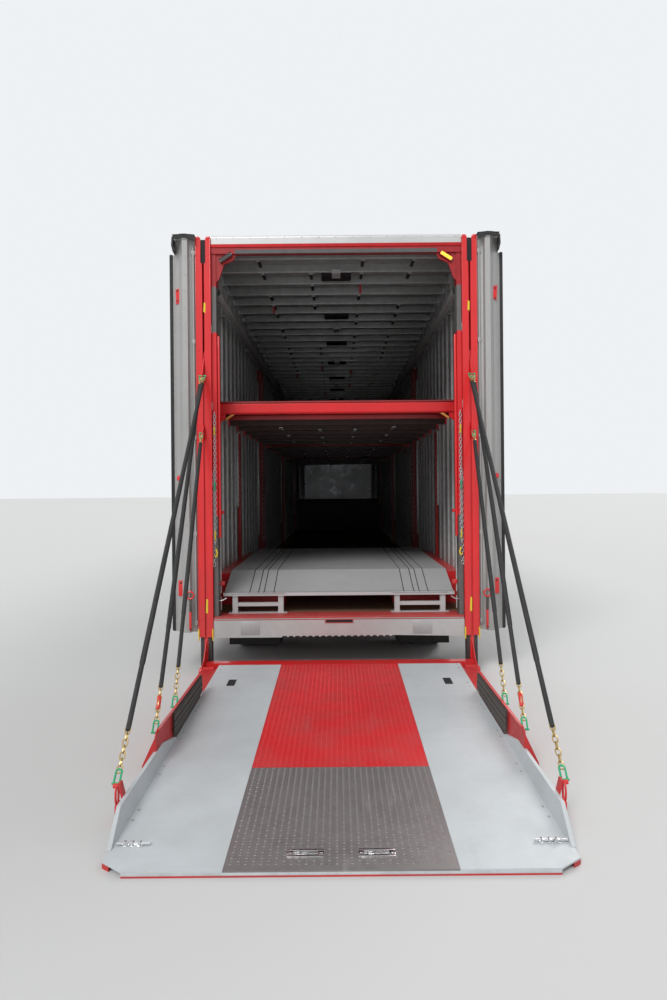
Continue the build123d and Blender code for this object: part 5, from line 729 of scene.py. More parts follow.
def fieldPiece(name, shapeBm, body, finish, fields):
    # Several fields of the same shape, joined to one piece; their values come in this order
    labels = ("Start", "Step Along", "Count Along", "Tilt", "Step Across", "Count Across",
              "Turn Every Other")
    shape = shapeObject(name + "Shape", shapeBm)
    bm = bmesh.new()
    for values in fields:
        repeatInto(bm, fieldTree, shape, dict(zip(labels, values)))
    bpy.data.objects.remove(shape)
    finishPiece(name, bm, body, finish)


def domeShape(radius, height, segments=6):
    # Rivet or bolt head standing on the XY plane
    bm = bmesh.new()
    rows = [(-0.2 * height, radius), (0.35 * height, radius * 0.92), (height, radius * 0.45)]
    addTurned(bm, Vector((0, 0, 0)), Vector((0, 0, 1)), rows, segments)
    return bm


def barShape(length, width, height, taper=0.6):
    # Raised bar along X, narrower at its top
    bm = bmesh.new()
    low = [(-length / 2, 0), (0, -width / 2), (length / 2, 0), (0, width / 2)]
    joinRings(bm, [[bm.verts.new((x, y, -0.0005)) for x, y in low],
                   [bm.verts.new((x * taper, y * taper, height)) for x, y in low]])
    return bm


def slabShape(x, y, z):
    # Small block round the origin
    bm = bmesh.new()
    for v in bmesh.ops.create_cube(bm, size=1.0)["verts"]:
        v.co = Vector((v.co.x * x, v.co.y * y, v.co.z * z))
    return bm


print("helpers ready")

# Platform: chequer plate, handles, latches, edges and bolts
platformDeck = {
    "nearY": -0.215, "tipY": -3.29, "nearTop": 0.13, "tipTop": 0.03, "treadHalf": 0.525, "redLength": 2.065,
    "columnPitch": 0.0342, "rowPitch": 0.0232, "barSize": (0.0205, 0.0085, 0.0021), "barAngle": 38,
    "barTurn": -18.0,
    "handleX": 0.165, "handleY": -3.16, "drainX": 0.895, "drainY": -0.71, "drainHalf": (0.033, 0.08),
    "coverY": -0.45, "coverHalf": (0.046, 0.036), "latchX": 0.985, "latchY": -3.085,
    # x and y span of each bar of a handle's frame
    "handleFrame": (((-0.085, 0.085), (0.018, 0.032)), ((-0.085, 0.085), (-0.032, -0.018)),
                    ((-0.085, -0.058), (-0.018, 0.018)), ((0.058, 0.085), (-0.018, 0.018))),
}


def deckTop(y, d=platformDeck):
    share = (y - d["nearY"]) / (d["tipY"] - d["nearY"])
    return d["nearTop"] + share * (d["tipTop"] - d["nearTop"])


def makeTreads(d):
    slope = math.atan((d["nearTop"] - d["tipTop"]) / (d["nearY"] - d["tipY"]))
    columns = int(2 * d["treadHalf"] / d["columnPitch"])
    spanX = (columns - 1) * d["columnPitch"]
    split = d["nearY"] - d["redLength"]
    for name, finish, start, end in (
        ("treadBarsRed", "treadRed", d["nearY"] - 0.012, split + 0.008),
        ("treadBarsSteel", "treadSteel", split - 0.012, d["tipY"] + 0.012),
    ):
        fieldPiece(name, barShape(*d["barSize"]), "platform", finish, [(
            place(-spanX / 2, start, deckTop(start)), (d["columnPitch"], 0, 0), columns,
            (slope, 0, math.radians(d["barAngle"])), (0, -d["rowPitch"], -d["rowPitch"] * math.tan(slope)),
            int((start - end) / d["rowPitch"]), math.radians(d["barTurn"]),
        )])


def makePlatformFittings(d):
    handles, recesses, covers, latches = newMeshes(4)
    for side in (-1, 1):
        x, y, z = side * d["handleX"], d["handleY"], deckTop(d["handleY"])
        for (x0, x1), (y0, y1) in d["handleFrame"]:
            addBox(handles, (x + x0, x + x1), (y + y0, y + y1), (z - 0.003, z + 0.0035), 0.001)
        addBox(handles, around(x, 0.06), (y, y + 0.017), (z - 0.02, z - 0.002), 0.002)
        addRod(handles, (x - 0.062, y - 0.008, z - 0.008), (x + 0.062, y - 0.008, z - 0.008), 0.005, 10)
        for sx in (-0.072, 0.072):
            addRod(handles, (x + sx, y, z + 0.003), (x + sx, y, z + 0.006), 0.007, 8)
        # dark box in the recess under the handle: painted shade
        addBox(recesses, around(x, 0.064), around(y, 0.02), (z - 0.028, z - 0.024))
        # long drain hole in each pale panel, drawn as a thin dark strip of painted shade, and a cover over the
        # smaller slot behind it
        for bm, x, y, (halfX, halfY), thick in (
            (recesses, side * d["drainX"], d["drainY"], d["drainHalf"], 0.0006),
            (covers, side * 1.0, d["coverY"], d["coverHalf"], 0.0008),
        ):
            addStrip(bm, x, halfX, *((v, deckTop(v)) for v in around(y, halfY)), thick)
        # bolt latch beside each corner at the tip
        x, y, z = side * d["latchX"], d["latchY"], deckTop(d["latchY"])
        addBox(latches, around(x, 0.052), around(y, 0.016), (z - 0.001, z + 0.004), 0.001)
        addRod(latches, (x - 0.075, y, z + 0.01), (x + 0.085, y, z + 0.01), 0.0065, 10)
        for sx in (-0.035, 0.0, 0.035):
            addBox(latches, around(x + sx, 0.008), around(y, 0.013), (z + 0.002, z + 0.019), 0.003)
        addRod(latches, (x + side * 0.018, y, z + 0.012), (x + side * 0.018, y - 0.03, z + 0.02), 0.004, 8)
    # dark strip under the platform's near edge: painted shade in the recess there
    addBox(recesses, around(0, 0.126), (d["nearY"] - 0.062, d["nearY"] - 0.028), (0.09, 0.094))
    finishPieces("platform",
                 ("platformHandles", handles, "polishedAluminium"),
                 ("platformRecesses", recesses, "holeDark"),
                 ("platformCovers", covers, "deckWhite"),
                 ("platformLatches", latches, "polishedAluminium"))


platformEdges = {
    "boltPitch": 0.205, "railInner": 1.103, "lipX": (1.112, 1.095), "lipY": (-0.952, -2.2), "lipZ": 0.2585,
    "eyeX": 1.152, "eyeY": -2.79,
    # low and high edge and height of each rib along the rail's rubber
    "rubberRibs": ((0.122, 0.15, 0.004), (0.158, 0.19, 0.006), (0.198, 0.232, 0.004)),
    "ribY": (-0.965, -1.86),
}


def makePlatformEdges(e):
    # Thin red lips on the rails, eyes of the outer stays, ribs on the rubbers and bolts
    red, rubber = newMeshes(2)
    fields = []
    for side in (-1, 1):
        (outer, inner), (far, near), z = e["lipX"], e["lipY"], e["lipZ"]
        addPlate(red, [(side * outer, far, z), (side * inner, far, z), (side * inner, near, z),
                       (side * outer, near, z)], (0, 0, 0.004))
        x, y = side * e["eyeX"], e["eyeY"]
        addPath(red, [(x + side * 0.002, y + 0.024 * a, 0.14 + 0.05 * b) for a, b in circle(1, 16)], 0.006,
                closed=True)
        addBox(red, (x - side * 0.012, x + side * 0.006), around(y, 0.032), (0.035, 0.1), 0.003)
        x, (far, near) = side * (e["railInner"] - 0.0145), e["ribY"]
        for low, high, proud in e["rubberRibs"]:
            addPlate(rubber, [(x, far, low), (x, far, high), (x, near, high), (x, near, low)],
                     (-side * proud, 0, 0))
        fields.append((place(side * 1.1113, -1.02, 0.235), (0, -e["boltPitch"], 0), 6, facingSide(side)))
        for y in (-0.26, -0.36):
            fields.append((place(side * 1.05, y, deckTop(y) + 0.0005), (0, -0.5, -0.01626), 6))
    finishPieces("platform", ("platformRedTrim", red, "paintRed"), ("railRibs", rubber, "wornRubber"))
    fieldPiece("platformBolts", domeShape(0.009, 0.005), "platform", "dullAluminium", fields)


makeTreads(platformDeck)
makePlatformFittings(platformDeck)
makePlatformEdges(platformEdges)
print("platform dressed:", pieceCount["made"], "pieces")

# Stays: scuffed sleeves over chain, with shackles and tensioners
stayRows = (
    # top x, y, z and foot x, y, z
    ((1.2315, -0.062, 2.77), (1.159, -2.79, 0.188)),
    ((1.2585, -0.062, 2.77), (1.1266, -2.18, 0.228)),
    ((1.2585, -0.062, 2.24), (1.1266, -1.70, 0.228)),
)
staySizes = {"sleeveRadius": 0.017, "sleeveLower": 0.42, "topChain": 0.13, "footChain": 0.30,
             "linkLength": 0.044, "linkWidth": 0.026, "wire": 0.0042}


def addChain(bm, start, end, s):
    # Links along the line, each a quarter turn from the one before
    axis, across, over = frameOf(end - start)
    count = max(2, round((end - start).length / (s["linkLength"] - 2.2 * s["wire"])))
    bend = s["linkWidth"] / 2
    half = s["linkLength"] / 2 - bend
    # lengths along the link and across it, once round
    loop = [(sign * (half + math.sin(t) * bend), sign * math.cos(t) * bend)
            for sign in (1, -1) for t in [math.pi * k / 5 for k in range(6)]]
    for i in range(count):
        centre = start + (end - start) * ((i + 0.5) / count)
        flat = (across, over)[i % 2]
        addPath(bm, [centre + axis * a + flat * b for a, b in loop], s["wire"], 6, closed=True)


def addShackle(bm, pin, direction, width, depth, radius):
    # Bow round the pin's axis, with the pin through its ends
    axis, across, _ = frameOf(direction)
    bend = width / 2
    bow = [pin + axis * (depth - bend + math.sin(t) * bend) + across * (math.cos(t) * bend)
           for t in [math.pi * k / 8 for k in range(9)]]
    addPath(bm, [pin + across * bend, *bow, pin - across * bend], radius)
    reach, thick = width * 0.8, radius * 1.1
    addTurned(bm, pin - across * reach, across, [(0, thick), (reach * 2, thick)], 10)


def makeStays(s):
    for sideName, side in leftRight:
        sleeves, chains, greens, reds = newMeshes(4)
        for number, (top, foot) in enumerate(stayRows):
            top, foot = (place(side * x, y, z) for x, y, z in (top, foot))
            along = (foot - top).normalized()
            sleeveTop = top + along * s["topChain"]
            sleeveEnd = foot - along * s["footChain"]
            length = (sleeveEnd - sleeveTop).length
            wide, lower = s["sleeveRadius"], length - s["sleeveLower"]
            addTurned(sleeves, sleeveTop, along, [
                (0, 0.012), (0.004, wide), (length * 0.3, wide), (length * 0.62, wide * 1.02), (lower, wide),
                (lower + 0.006, wide * 0.86), (length - 0.004, wide * 0.84), (length, 0.011)], 16)
            addChain(chains, top + along * 0.045, sleeveTop + along * 0.02, s)
            addChain(chains, sleeveEnd - along * 0.02, foot - along * 0.07, s)
            addShackle(greens, foot - along * 0.012, -along, 0.03, 0.075, 0.0055)
            addShackle(greens, top + along * 0.004, along, 0.026, 0.06, 0.0055)
            if number == 1:
                # a red tensioner in the middle stay's chain
                addTurned(reds, foot - along * 0.2 - along * 0.045, along,
                          [(0, 0.008), (0.01, 0.014), (0.08, 0.014), (0.09, 0.008)], 10)
        x, y, z = stayRows[0][1]
        addTurned(reds, place(side * x, y, z) + Vector((-side * 0.014, 0, 0.0)), Vector((side, 0, 0)),
                  [(0, 0.012), (0.028, 0.012)], 10)
        for label, bm, finish in (
            ("staySleeves", sleeves, "rubberBlack"), ("stayChains", chains, "chainGold"),
            ("stayShackles", greens, "shackleGreen"), ("stayTensioners", reds, "paintRed"),
        ):
            name = label + sideName.capitalize()
            piece = finishPiece(name, bm, None, finish)
            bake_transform(piece)
            if label == "staySleeves" and sideName == "right":
                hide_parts("platform_stays")


makeStays(staySizes)
print("stays made")

# Masts: bolts, worn marks, notches and the guide bars' plates
mastDetails = {
    "inner": 1.175, "outer": 1.315, "top": 4.07, "bottom": 0.335, "markZ": ((3.365, 3.465), (0.555, 0.695)),
    "boltPitch": 0.42, "boltSpan": 3.3, "notchTop": 3.83, "plateZ": (1.02, 1.78, 2.5, 3.22),
}


def makeMasts(d):
    yellow, dark, red, steel = newMeshes(4)
    fields = []
    middle = (d["inner"] + d["outer"]) / 2
    for side in (-1, 1):
        for low, high in d["markZ"]:
            # worn paint mark with slanted ends beside the groove
            x = side * (middle - 0.011)
            addRearPlate(yellow, -0.0006, [(x - 0.011, low + 0.012), (x + 0.009, low),
                                           (x + 0.011, high - 0.01), (x - 0.005, high)], 0.0012)
        for x in (d["inner"] + 0.0045, d["outer"] - 0.0045):
            addBox(yellow, around(side * x, 0.0055), (-0.0104, 0.002), (0.3035, 0.4115), 0.001)
        # guide rail seen in the open notch at the mast's top, painted near-black as the shade in the notch,
        # with prongs and long lips beside it
        addBox(dark, around(side * middle, 0.0215), (0.004, 0.006),
               (d["notchTop"] + 0.002, d["top"] - 0.02))
        for sign in (-1, 1):
            addBox(red, around(side * middle + sign * 0.05, 0.018), (-0.003, 0.005),
                   (d["top"] - 0.02, d["top"] + 0.01), 0.002)
            addBox(red, around(side * middle + sign * 0.0665, 0.0035), (-0.003, 0.004),
                   (d["bottom"] + 0.1, d["top"] - 0.005), 0.0015)
        for z in d["plateZ"]:
            addBox(steel, (side * d["inner"] - 0.002, side * d["inner"] + 0.004), (0.018, 0.07),
                   around(z, 0.035), 0.001)
        fields.append((place(side * (middle + 0.045), -0.0005, 0.5), (0, 0, d["boltPitch"]),
                       int(d["boltSpan"] / d["boltPitch"]), facingRear))
    finishPieces("trailer", ("mastMarks", yellow, "markerYellow"),
                 ("mastNotches", dark, "holeDark"), ("mastLips", red, "paintRed"),
                 ("mastPlates", steel, "dullAluminium"))
    fieldPiece("mastBolts", domeShape(0.008, 0.004), "trailer", "paintRed", fields)


makeMasts(mastDetails)

# Folded door wings: caps, rubber edges, clips, knobs, ring handles and tabs
wingDetails = {
    "bottom": 0.385, "leafTop": 3.925, "sealX": 1.5602, "lockX": 1.338, "keeperZ": (0.47, 1.3, 2.2, 3.1, 3.93),
    "clip": (1.466, 3.53), "knob": (1.482, 1.822), "ring": (1.378, 0.737), "tab": (1.476, 0.79),
    # x and z round the rubber cap, and along its top
    "capFace": ((1.3158, 4.024), (1.3158, 4.0755), (1.352, 4.084), (1.402, 4.0925), (1.45, 4.0905),
                (1.522, 4.066), (1.5265, 3.985), (1.512, 3.925), (1.497, 3.934), (1.511, 3.985),
                (1.508, 4.042), (1.452, 4.052), (1.402, 4.054), (1.352, 4.038)),
    "capTop": ((1.3158, 4.086), (1.402, 4.0945), (1.522, 4.0875)), "capY": (-0.04, 0.09),
    # x from the clip's middle, y, z from its middle round each half; thickness of the half
    "clipHalves": (
        (((-0.041, 0.032, 0.062), (-0.004, 0.026, 0.07), (-0.002, 0.026, -0.066), (-0.038, 0.032, -0.074)),
         -0.012),
        (((0.004, 0.026, 0.066), (0.043, 0.034, 0.08), (0.036, 0.034, -0.06), (0.003, 0.026, -0.052)),
         -0.014)),
    "rivetPlaces": ((1.4085, -0.0372), (1.5, 0.0335)),
}


def makeWings(d):
    fields = []
    rearward = Vector((0, -1, 0))
    for sideName, side in leftRight:
        black, red, steel, strap, silver = newMeshes(5)
        # rubber seal down the outer edge, with its bead
        addBox(black, (side * 1.5405, side * 1.5612), (0.044, 0.0595),
               (d["bottom"] + 0.004, d["leafTop"] + 0.004), 0.003)
        addRod(black, (side * d["sealX"], 0.051, d["bottom"] + 0.01),
               (side * d["sealX"], 0.051, d["leafTop"]), 0.0085, 10)
        # rubber cap with its peak over the ridge and a skirt that turns in at the notch
        addRearPlate(black, -0.0485, [(side * x, z) for x, z in d["capFace"]], 0.011)
        near, far = d["capY"]
        crest = [(side * x, z) for x, z in d["capTop"]]
        addPlate(black, [(x, near, z) for x, z in crest] + [(x, far, z) for x, z in crest[::-1]],
                 (0, 0, -0.004))
        addPlate(black, [(side * x, y, z) for x, y, z in (
            (1.5265, near, 4.066), (1.5265, far, 4.066), (1.531, far, 3.985),
            (1.516, far, 3.925), (1.516, near, 3.925), (1.531, near, 3.985))], (-side * 0.005, 0, 0))
        # two-part clip on the outer band
        x, z = side * d["clip"][0], d["clip"][1]
        for points, depth in d["clipHalves"]:
            addPlate(red, [(x + sx, y, z + sz) for sx, y, sz in points], (0, depth, 0))
        addRod(steel, (x, 0.02, z - 0.07), (x, 0.02, z + 0.072), 0.005, 8)
        for sz in (-0.045, 0.05):
            for sx, end in ((-0.024, 0.013), (0.022, 0.012)):
                addRod(steel, (x + sx, 0.022, z + sz), (x + sx, end, z + sz), 0.008, 8)
        # knob with a collar
        x, z = side * d["knob"][0], d["knob"][1]
        addTurned(red, place(x, 0.03, z), rearward,
                  [(0, 0.014), (0.01, 0.014), (0.012, 0.022), (0.026, 0.026), (0.034, 0.02),
                   (0.037, 0.008)], 16)
        addTurned(steel, place(x, 0.036, z), rearward, [(0, 0.03), (0.007, 0.03), (0.009, 0.024)], 16)
        # ring handle, its strap and the red pull below
        x, z = side * d["ring"][0], d["ring"][1]
        addPath(red, [(a, -0.053, b) for a, b in circle(0.033, 20, x, z)], 0.0075, closed=True)
        addBox(strap, around(x, 0.011), (-0.05, -0.0425), (z - 0.15, z - 0.028), 0.002)
        addBox(red, (x - 0.013, x + 0.009), (-0.05, -0.0415), (z - 0.33, z - 0.152), 0.003)
        for y, sz in ((-0.055, -0.15), (-0.06, -0.316)):
            addRod(steel, (x, y, z + sz), (x, -0.036, z + sz), 0.007, 8)
        # tab on the outer band
        x, z = side * d["tab"][0], d["tab"][1]
        addBox(red, around(x, 0.025), (0.002, 0.022), (z - 0.07, z + 0.078), 0.007)
        addRod(steel, (x, 0.006, z + 0.055), (x, -0.003, z + 0.055), 0.009, 8)
        # lock bar with its keepers down the inner band
        x = side * d["lockX"]
        addRod(silver, (x, 0.014, 0.44), (x, 0.014, 3.98), 0.0105)
        for z in d["keeperZ"]:
            addBox(silver, around(x, 0.017), (0.006, 0.028), around(z, 0.02), 0.002)
        label = sideName.capitalize()
        finishPieces("trailer", ("wingSeals" + label, black, "rubberBlack"),
                     ("wingFittings" + label, red, "paintRed"),
                     ("wingPins" + label, steel, "steelDark"),
                     ("wingStraps" + label, strap, "wornRubber"),
                     ("wingLockBars" + label, silver, "doorSilver"))
        fields += [(place(side * x, y, 0.46), (0, 0, 0.155), 23, facingRear) for x, y in d["rivetPlaces"]]
    fieldPiece("wingRivets", domeShape(0.005, 0.0022), "trailer", "doorSilver", fields)


makeWings(wingDetails)

# Rear header and sill
rearDetails = {
    "lampX": 1.035, "lampZ": 3.889, "lampTilt": 33, "sillTop": 0.52, "sillHalf": 1.168, "handleHalf": 0.126,
    "handleZ": (0.459, 0.491),
}


def addSlanted(bm, x, y, z, length, height, depth, turn):
    # Block with its long side turned in the rear plane
    ax, az = math.cos(turn) * length / 2, math.sin(turn) * length / 2
    bx, bz = -math.sin(turn) * height / 2, math.cos(turn) * height / 2
    addRearPlate(bm, y, [(x - ax - bx, z - az - bz), (x + ax - bx, z + az - bz),
                         (x + ax + bx, z + az + bz), (x - ax + bx, z - az + bz)], depth)


def makeRearFrame(d):
    rim, lit, unlit, red, black, silver = newMeshes(6)
    for side, lens in ((-1, unlit), (1, lit)):
        x, z = side * d["lampX"], d["lampZ"]
        turn = math.radians(d["lampTilt"]) * -side
        addSlanted(rim, x, 0.0175, z, 0.134, 0.046, 0.004, turn)
        addSlanted(lens, x, 0.0125, z, 0.118, 0.03, 0.006, turn)
        for t in (-0.058, 0.058):
            screwX, screwZ = x + t * math.cos(turn), z + t * math.sin(turn)
            addRod(silver, (screwX, 0.0175, screwZ), (screwX, 0.013, screwZ), 0.006, 8)
    # worn red band on the sill's top edge and the handle in its middle
    end, top = d["sillHalf"], d["sillTop"]
    for xs in ((-end, -0.2), (0.2, end), (-0.2, 0.2)):
        addBox(red, xs, (0.0035, 0.24), (top - 0.0155, top + 0.0015), 0.001)
    addBox(silver, around(0, end), (0.0015, 0.0045), (top - 0.024, top - 0.0155), 0.0005)
    half = d["handleHalf"]
    # dark box behind the handle: painted shade in its slot
    addBox(black, around(0, half), (0.0045, 0.007), (0.463, 0.487))
    for z in d["handleZ"]:
        addBox(red, around(0, half + 0.008), (0.001, 0.006), around(z, 0.004), 0.001)
    for side in (-1, 1):
        addBox(red, around(side * (half + 0.004), 0.004), (0.001, 0.006), d["handleZ"], 0.001)
    # bolted repair plates on the sill
    for x in (-0.83, 0.78):
        addBox(silver, around(x, 0.09), (0.0012, 0.0042), (0.352, 0.478), 0.001)
    finishPieces("trailer", ("gussetLampRims", rim, "holeDark"),
                 ("gussetLampLit", lit, "lampGlow"),
                 ("gussetLampUnlit", unlit, "lampSmoke"), ("sillBands", red, "sillRed"),
                 ("sillSlot", black, "holeDark"),
                 ("sillPlates", silver, "dullAluminium"))
    fields = [(place(-1.12, 0.0118, 4.07), (0.16, 0, 0), 15, facingRear)]
    for x in (-0.9, 0.71):
        fields.append((place(x, 0.0012, 0.362), (0.14, 0, 0), 2, facingRear, (0, 0, 0.105), 2))
    fieldPiece("rearRivets", domeShape(0.006, 0.003), "trailer", "dullAluminium", fields)


makeRearFrame(rearDetails)
print("masts, wings and rear frame dressed:", pieceCount["made"], "pieces")

# Load space: perforated tracks, awning tubes, ceiling clips, inner posts and hanging chains
loadDetails = {
    "wallInner": 1.26, "postY": (0.45, 4.36, 4.66, 8.57, 8.87, 12.78), "holePitch": 0.075,
    "trackWidth": 0.052,
    "trackOff": 0.115, "bandOff": 0.0335, "postTop": 3.6, "ceiling": 3.99, "bowPitch": 0.406,
    "clipX": (-0.78, -0.27, 0.27, 0.78), "tubeX": 1.15, "tubeZ": 3.6, "innerX": 1.146, "chainX": 1.152,
}


def makeTracks(d):
    silver, darkRed = newMeshes(2)
    fields = []
    for side in (-1, 1):
        x = d["wallInner"]
        out = facingSide(side)
        for y in d["postY"]:
            low = 0.9 if 0.9 < y < 5 else 0.56
            face = side * (x - 0.0635)
            # separate perforated silver track beside each post
            trackY = y - d["trackOff"] if y > 1 else y + d["trackOff"]
            rows = int((d["postTop"] - 1.3) / d["holePitch"])
            fields.append((place(side * (x - 0.0222), trackY, 1.05), (0, 0, d["holePitch"]), rows, out))
            for sign in (-1, 1):
                bandY = y + sign * d["bandOff"]
                addBox(silver, (face, face + side * 0.0012), around(bandY, 0.0112),
                       (low, d["postTop"] - 0.02))
                fields.append((place(side * (x - 0.0637), bandY, 1.0), (0, 0, d["holePitch"]), rows + 3,
                               out))
            addBox(silver, (side * (x - 0.022), side * (x - 0.001)), around(trackY, d["trackWidth"] / 2),
                   (1.0, d["postTop"] - 0.2), 0.002)
        addBox(silver, (side * (x - 0.024), side * (x - 0.002)), (2.06, 2.112), (1.5, 2.42), 0.002)
        addBox(darkRed, (side * (x - 0.034), side * (x - 0.002)), (2.15, 2.205), (0.86, 2.42), 0.003)
        for inset, y, low, rows in ((0.0242, 2.086, 1.54, 12), (0.0342, 2.1775, 0.92, 20)):
            fields.append((place(side * (x - inset), y, low), (0, 0, d["holePitch"]), rows, out))
    finishPieces("trailer", ("loadTracks", silver, "perforated"),
                 ("loadPosts", darkRed, "gussetRed"))
    # thin dark slabs on the tracks and posts stand for their holes: painted shade
    fieldPiece("trackHoles", slabShape(0.034, 0.015, 0.0012), "trailer", "holeDark", fields)


def makeCeiling(d):
    dark, silver, red, black = newMeshes(4)
    rng = random.Random(7)
    top = d["ceiling"]
    for i in range(29):
        y = 0.353 + i * d["bowPitch"]
        for x in d["clipX"]:
            # strap clips between the bows
            if rng.random() < 0.62:
                addPlate(dark, [(x - 0.018, y + 0.075, top + 0.03), (x + 0.018, y + 0.075, top + 0.03),
                                (x + 0.014, y + 0.33, top + 0.03), (x - 0.014, y + 0.33, top + 0.03)],
                                (0, 0, -0.01))
                addBox(silver, around(x, 0.02), (y + 0.062, y + 0.082), (top - 0.006, top + 0.028), 0.003)
            if rng.random() < 0.07:
                addBox(red, around(x, 0.012), (y + 0.1, y + 0.112), (top - 0.085, top + 0.02), 0.004)
        if i % 4 == 1:
            addBox(black, around(0, 0.16), (y + 0.12, y + 0.3), (top - 0.01, top + 0.045), 0.008)
    finishPieces("trailer", ("ceilingClips", dark, "rubberBlack"),
                 ("ceilingBuckles", silver, "dullAluminium"),
                 ("ceilingStraps", red, "strapRed"), ("ceilingLampHousings", black, "holeDark"))
    fieldPiece("bowRivets", domeShape(0.006, 0.0025, 5), "trailer", "innerSilver", [
        (place(-1.2, 0.3805 + i * d["bowPitch"], top - 0.0005), (0.2, 0, 0), 13, facingDown)
        for i in range(31)])


loadChain = {"linkLength": 0.036, "linkWidth": 0.021, "wire": 0.0034}


def makeTubes(d):
    white, red, black, steel, gold, yellow, green = newMeshes(7)
    for side in (-1, 1):
        # end cap of the tube under the roof and the arm that holds it
        x, z = side * d["tubeX"], d["tubeZ"]
        addTurned(black, place(x, 0.156, z), Vector((0, -1, 0)),
                  [(0, 0.0385), (0.036, 0.0385), (0.044, 0.034), (0.046, 0.012)], 20)
        addPath(steel, [(x, 0.17, z + 0.036), (x + side * 0.02, 0.17, z + 0.09),
                        (x + side * 0.055, 0.17, z + 0.16)], 0.008)
        # red post and white tube inside the mast
        addBox(red, (side * 1.105, side * 1.128), (0.052, 0.08), (1.26, 3.16), 0.004)
        x = side * d["innerX"]
        for low, high in ((0.72, 1.62), (0.56, 0.68)):
            addRod(white, (x, 0.176, low), (x, 0.176, high), 0.02, 14)
        for low, high in ((0.795, 0.835), (1.48, 1.51)):
            addBox(red, (side * 1.095, side * 1.17), (0.15, 0.2), (low, high), 0.006)
        # chains with hooks hanging inside the mast
        for x, y, high, low in ((d["chainX"], 0.018, 2.44, 1.2), (1.163, 0.022, 1.9, 1.0)):
            addChain(gold, place(side * x, y, high), place(side * x, y, low), loadChain)
        for z, bm in ((2.3, yellow), (1.78, green), (1.32, yellow)):
            addShackle(bm, place(side * d["chainX"], 0.012, z), Vector((0, 0, -1)), 0.026, 0.075, 0.005)
        hook = ((d["innerX"], 0.004, 1.16), (1.132, 0.0, 1.12), (1.14, 0.0, 1.085), (1.158, 0.002, 1.1))
        latch = ((1.16, 0.06, 0.665), (1.1, 0.055, 0.668), (1.06, 0.06, 0.69))
        for bm, points, radius in ((yellow, hook, 0.007), (steel, latch, 0.0055)):
            addPath(bm, [(side * x, y, z) for x, y, z in points], radius)
    finishPieces("trailer", ("mastInnerTubes", white, "tubeWhite"),
                 ("mastInnerPosts", red, "paintRed"),
                 ("awningTubeEnds", black, "rubberBlack"),
                 ("awningArms", steel, "dullAluminium"),
                 ("hangingChains", gold, "perforated", "chain_gold"),
                 ("hangingHooks", yellow, "markerYellow", "chain_gold"),
                 ("hangingShackles", green, "shackleGreen"))


makeTracks(loadDetails)
makeCeiling(loadDetails)
makeTubes(loadDetails)

upperDecks = {
    "starts": (("rear", 0.33), ("middle", 4.54), ("front", 8.75)), "top": 2.5702, "under": (2.383, 2.394),
    "beams": ((0.075, 0.105), (4.045, 4.075)), "lampY": (0.9, 2.0, 3.1),
}


def makeUpperDecks(d):
    # Beams, amber corner plates, lamps and slats of each upper deck
    for name, start in d["starts"]:
        amber, silver, red = newMeshes(3)
        for side in (-1, 1):
            for y, depth in ((start + 0.012, 0.008), (start + 4.138, -0.008)):
                addRearPlate(amber, y, [(side * 1.1, 2.453), (side * 1.01, 2.453), (side * 1.1, 2.392)],
                             depth)
            for y in d["lampY"]:
                y += start
                addBox(silver, around(side * 0.62, 0.02), around(y, 0.16), d["under"], 0.003)
                addBox(silver, around(side * 0.2, 0.018), (y + 0.1, y + 0.34), d["under"], 0.003)
        for near, far in d["beams"]:
            addBox(red, around(0, 1.12), (start + near, start + far), (2.405, 2.452), 0.004)
        addRod(red, (-1.155, start + 0.006, 2.5685), (1.155, start + 0.006, 2.5685), 0.0125)
        label, body = name.capitalize(), "upper_deck_" + name
        finishPieces(body, ("deckCorners" + label, amber, "cornerAmber"),
                     ("deckBeams" + label, red, "postRed"),
                     ("deckLamps" + label, silver, "dullAluminium"))
        fieldPiece("deckTreads" + label, barShape(0.026, 0.011, 0.0022), body, "paintRed", [
            (place(side * 0.78 - 0.27, start + 0.06, d["top"]), (0.06, 0, 0), 10, (0, 0, math.radians(40)),
             (0, 0.1, 0), 40, math.radians(-80)) for side in (-1, 1)])


makeUpperDecks(upperDecks)

lowerDeckDetails = {
    # y and z of the wheel tracks' surface: the entry, its slope and the level part
    "profile": ((0.176, 0.72), (0.26, 0.72), (0.704, 0.875), (3.19, 0.875)),
    "lineX": (0.63, 0.727, 0.78, 0.865),
    "nearY": 0.17, "entryTop": 0.72, "standX": (0.56, 1.0),
}


def makeLowerDeck(d):
    dark, silver = newMeshes(2)
    for side in (-1, 1):
        for x in d["lineX"]:
            # joint lines of the wheel tracks
            for start, end in zip(d["profile"], d["profile"][1:]):
                addStrip(dark, side * x, 0.004, start, end, 0.0012)
        addBox(silver, (side * 0.52, side * 1.04), (d["nearY"] - 0.006, d["nearY"] + 0.002),
               (d["entryTop"] - 0.01, d["entryTop"] + 0.002), 0.001)
        for x in d["standX"]:
            addBox(silver, around(side * x, 0.045), (0.19, 0.26), (0.521, 0.529), 0.002)
            for sx in (-0.03, 0.03):
                addRod(silver, (side * x + sx, 0.225, 0.528), (side * x + sx, 0.225, 0.538), 0.007, 8)
    finishPieces("trailer", ("deckTrackLines", dark, "holeDark"),
                 ("deckFeet", silver, "dullAluminium"))


makeLowerDeck(lowerDeckDetails)
print("load space dressed:", pieceCount["made"], "pieces")


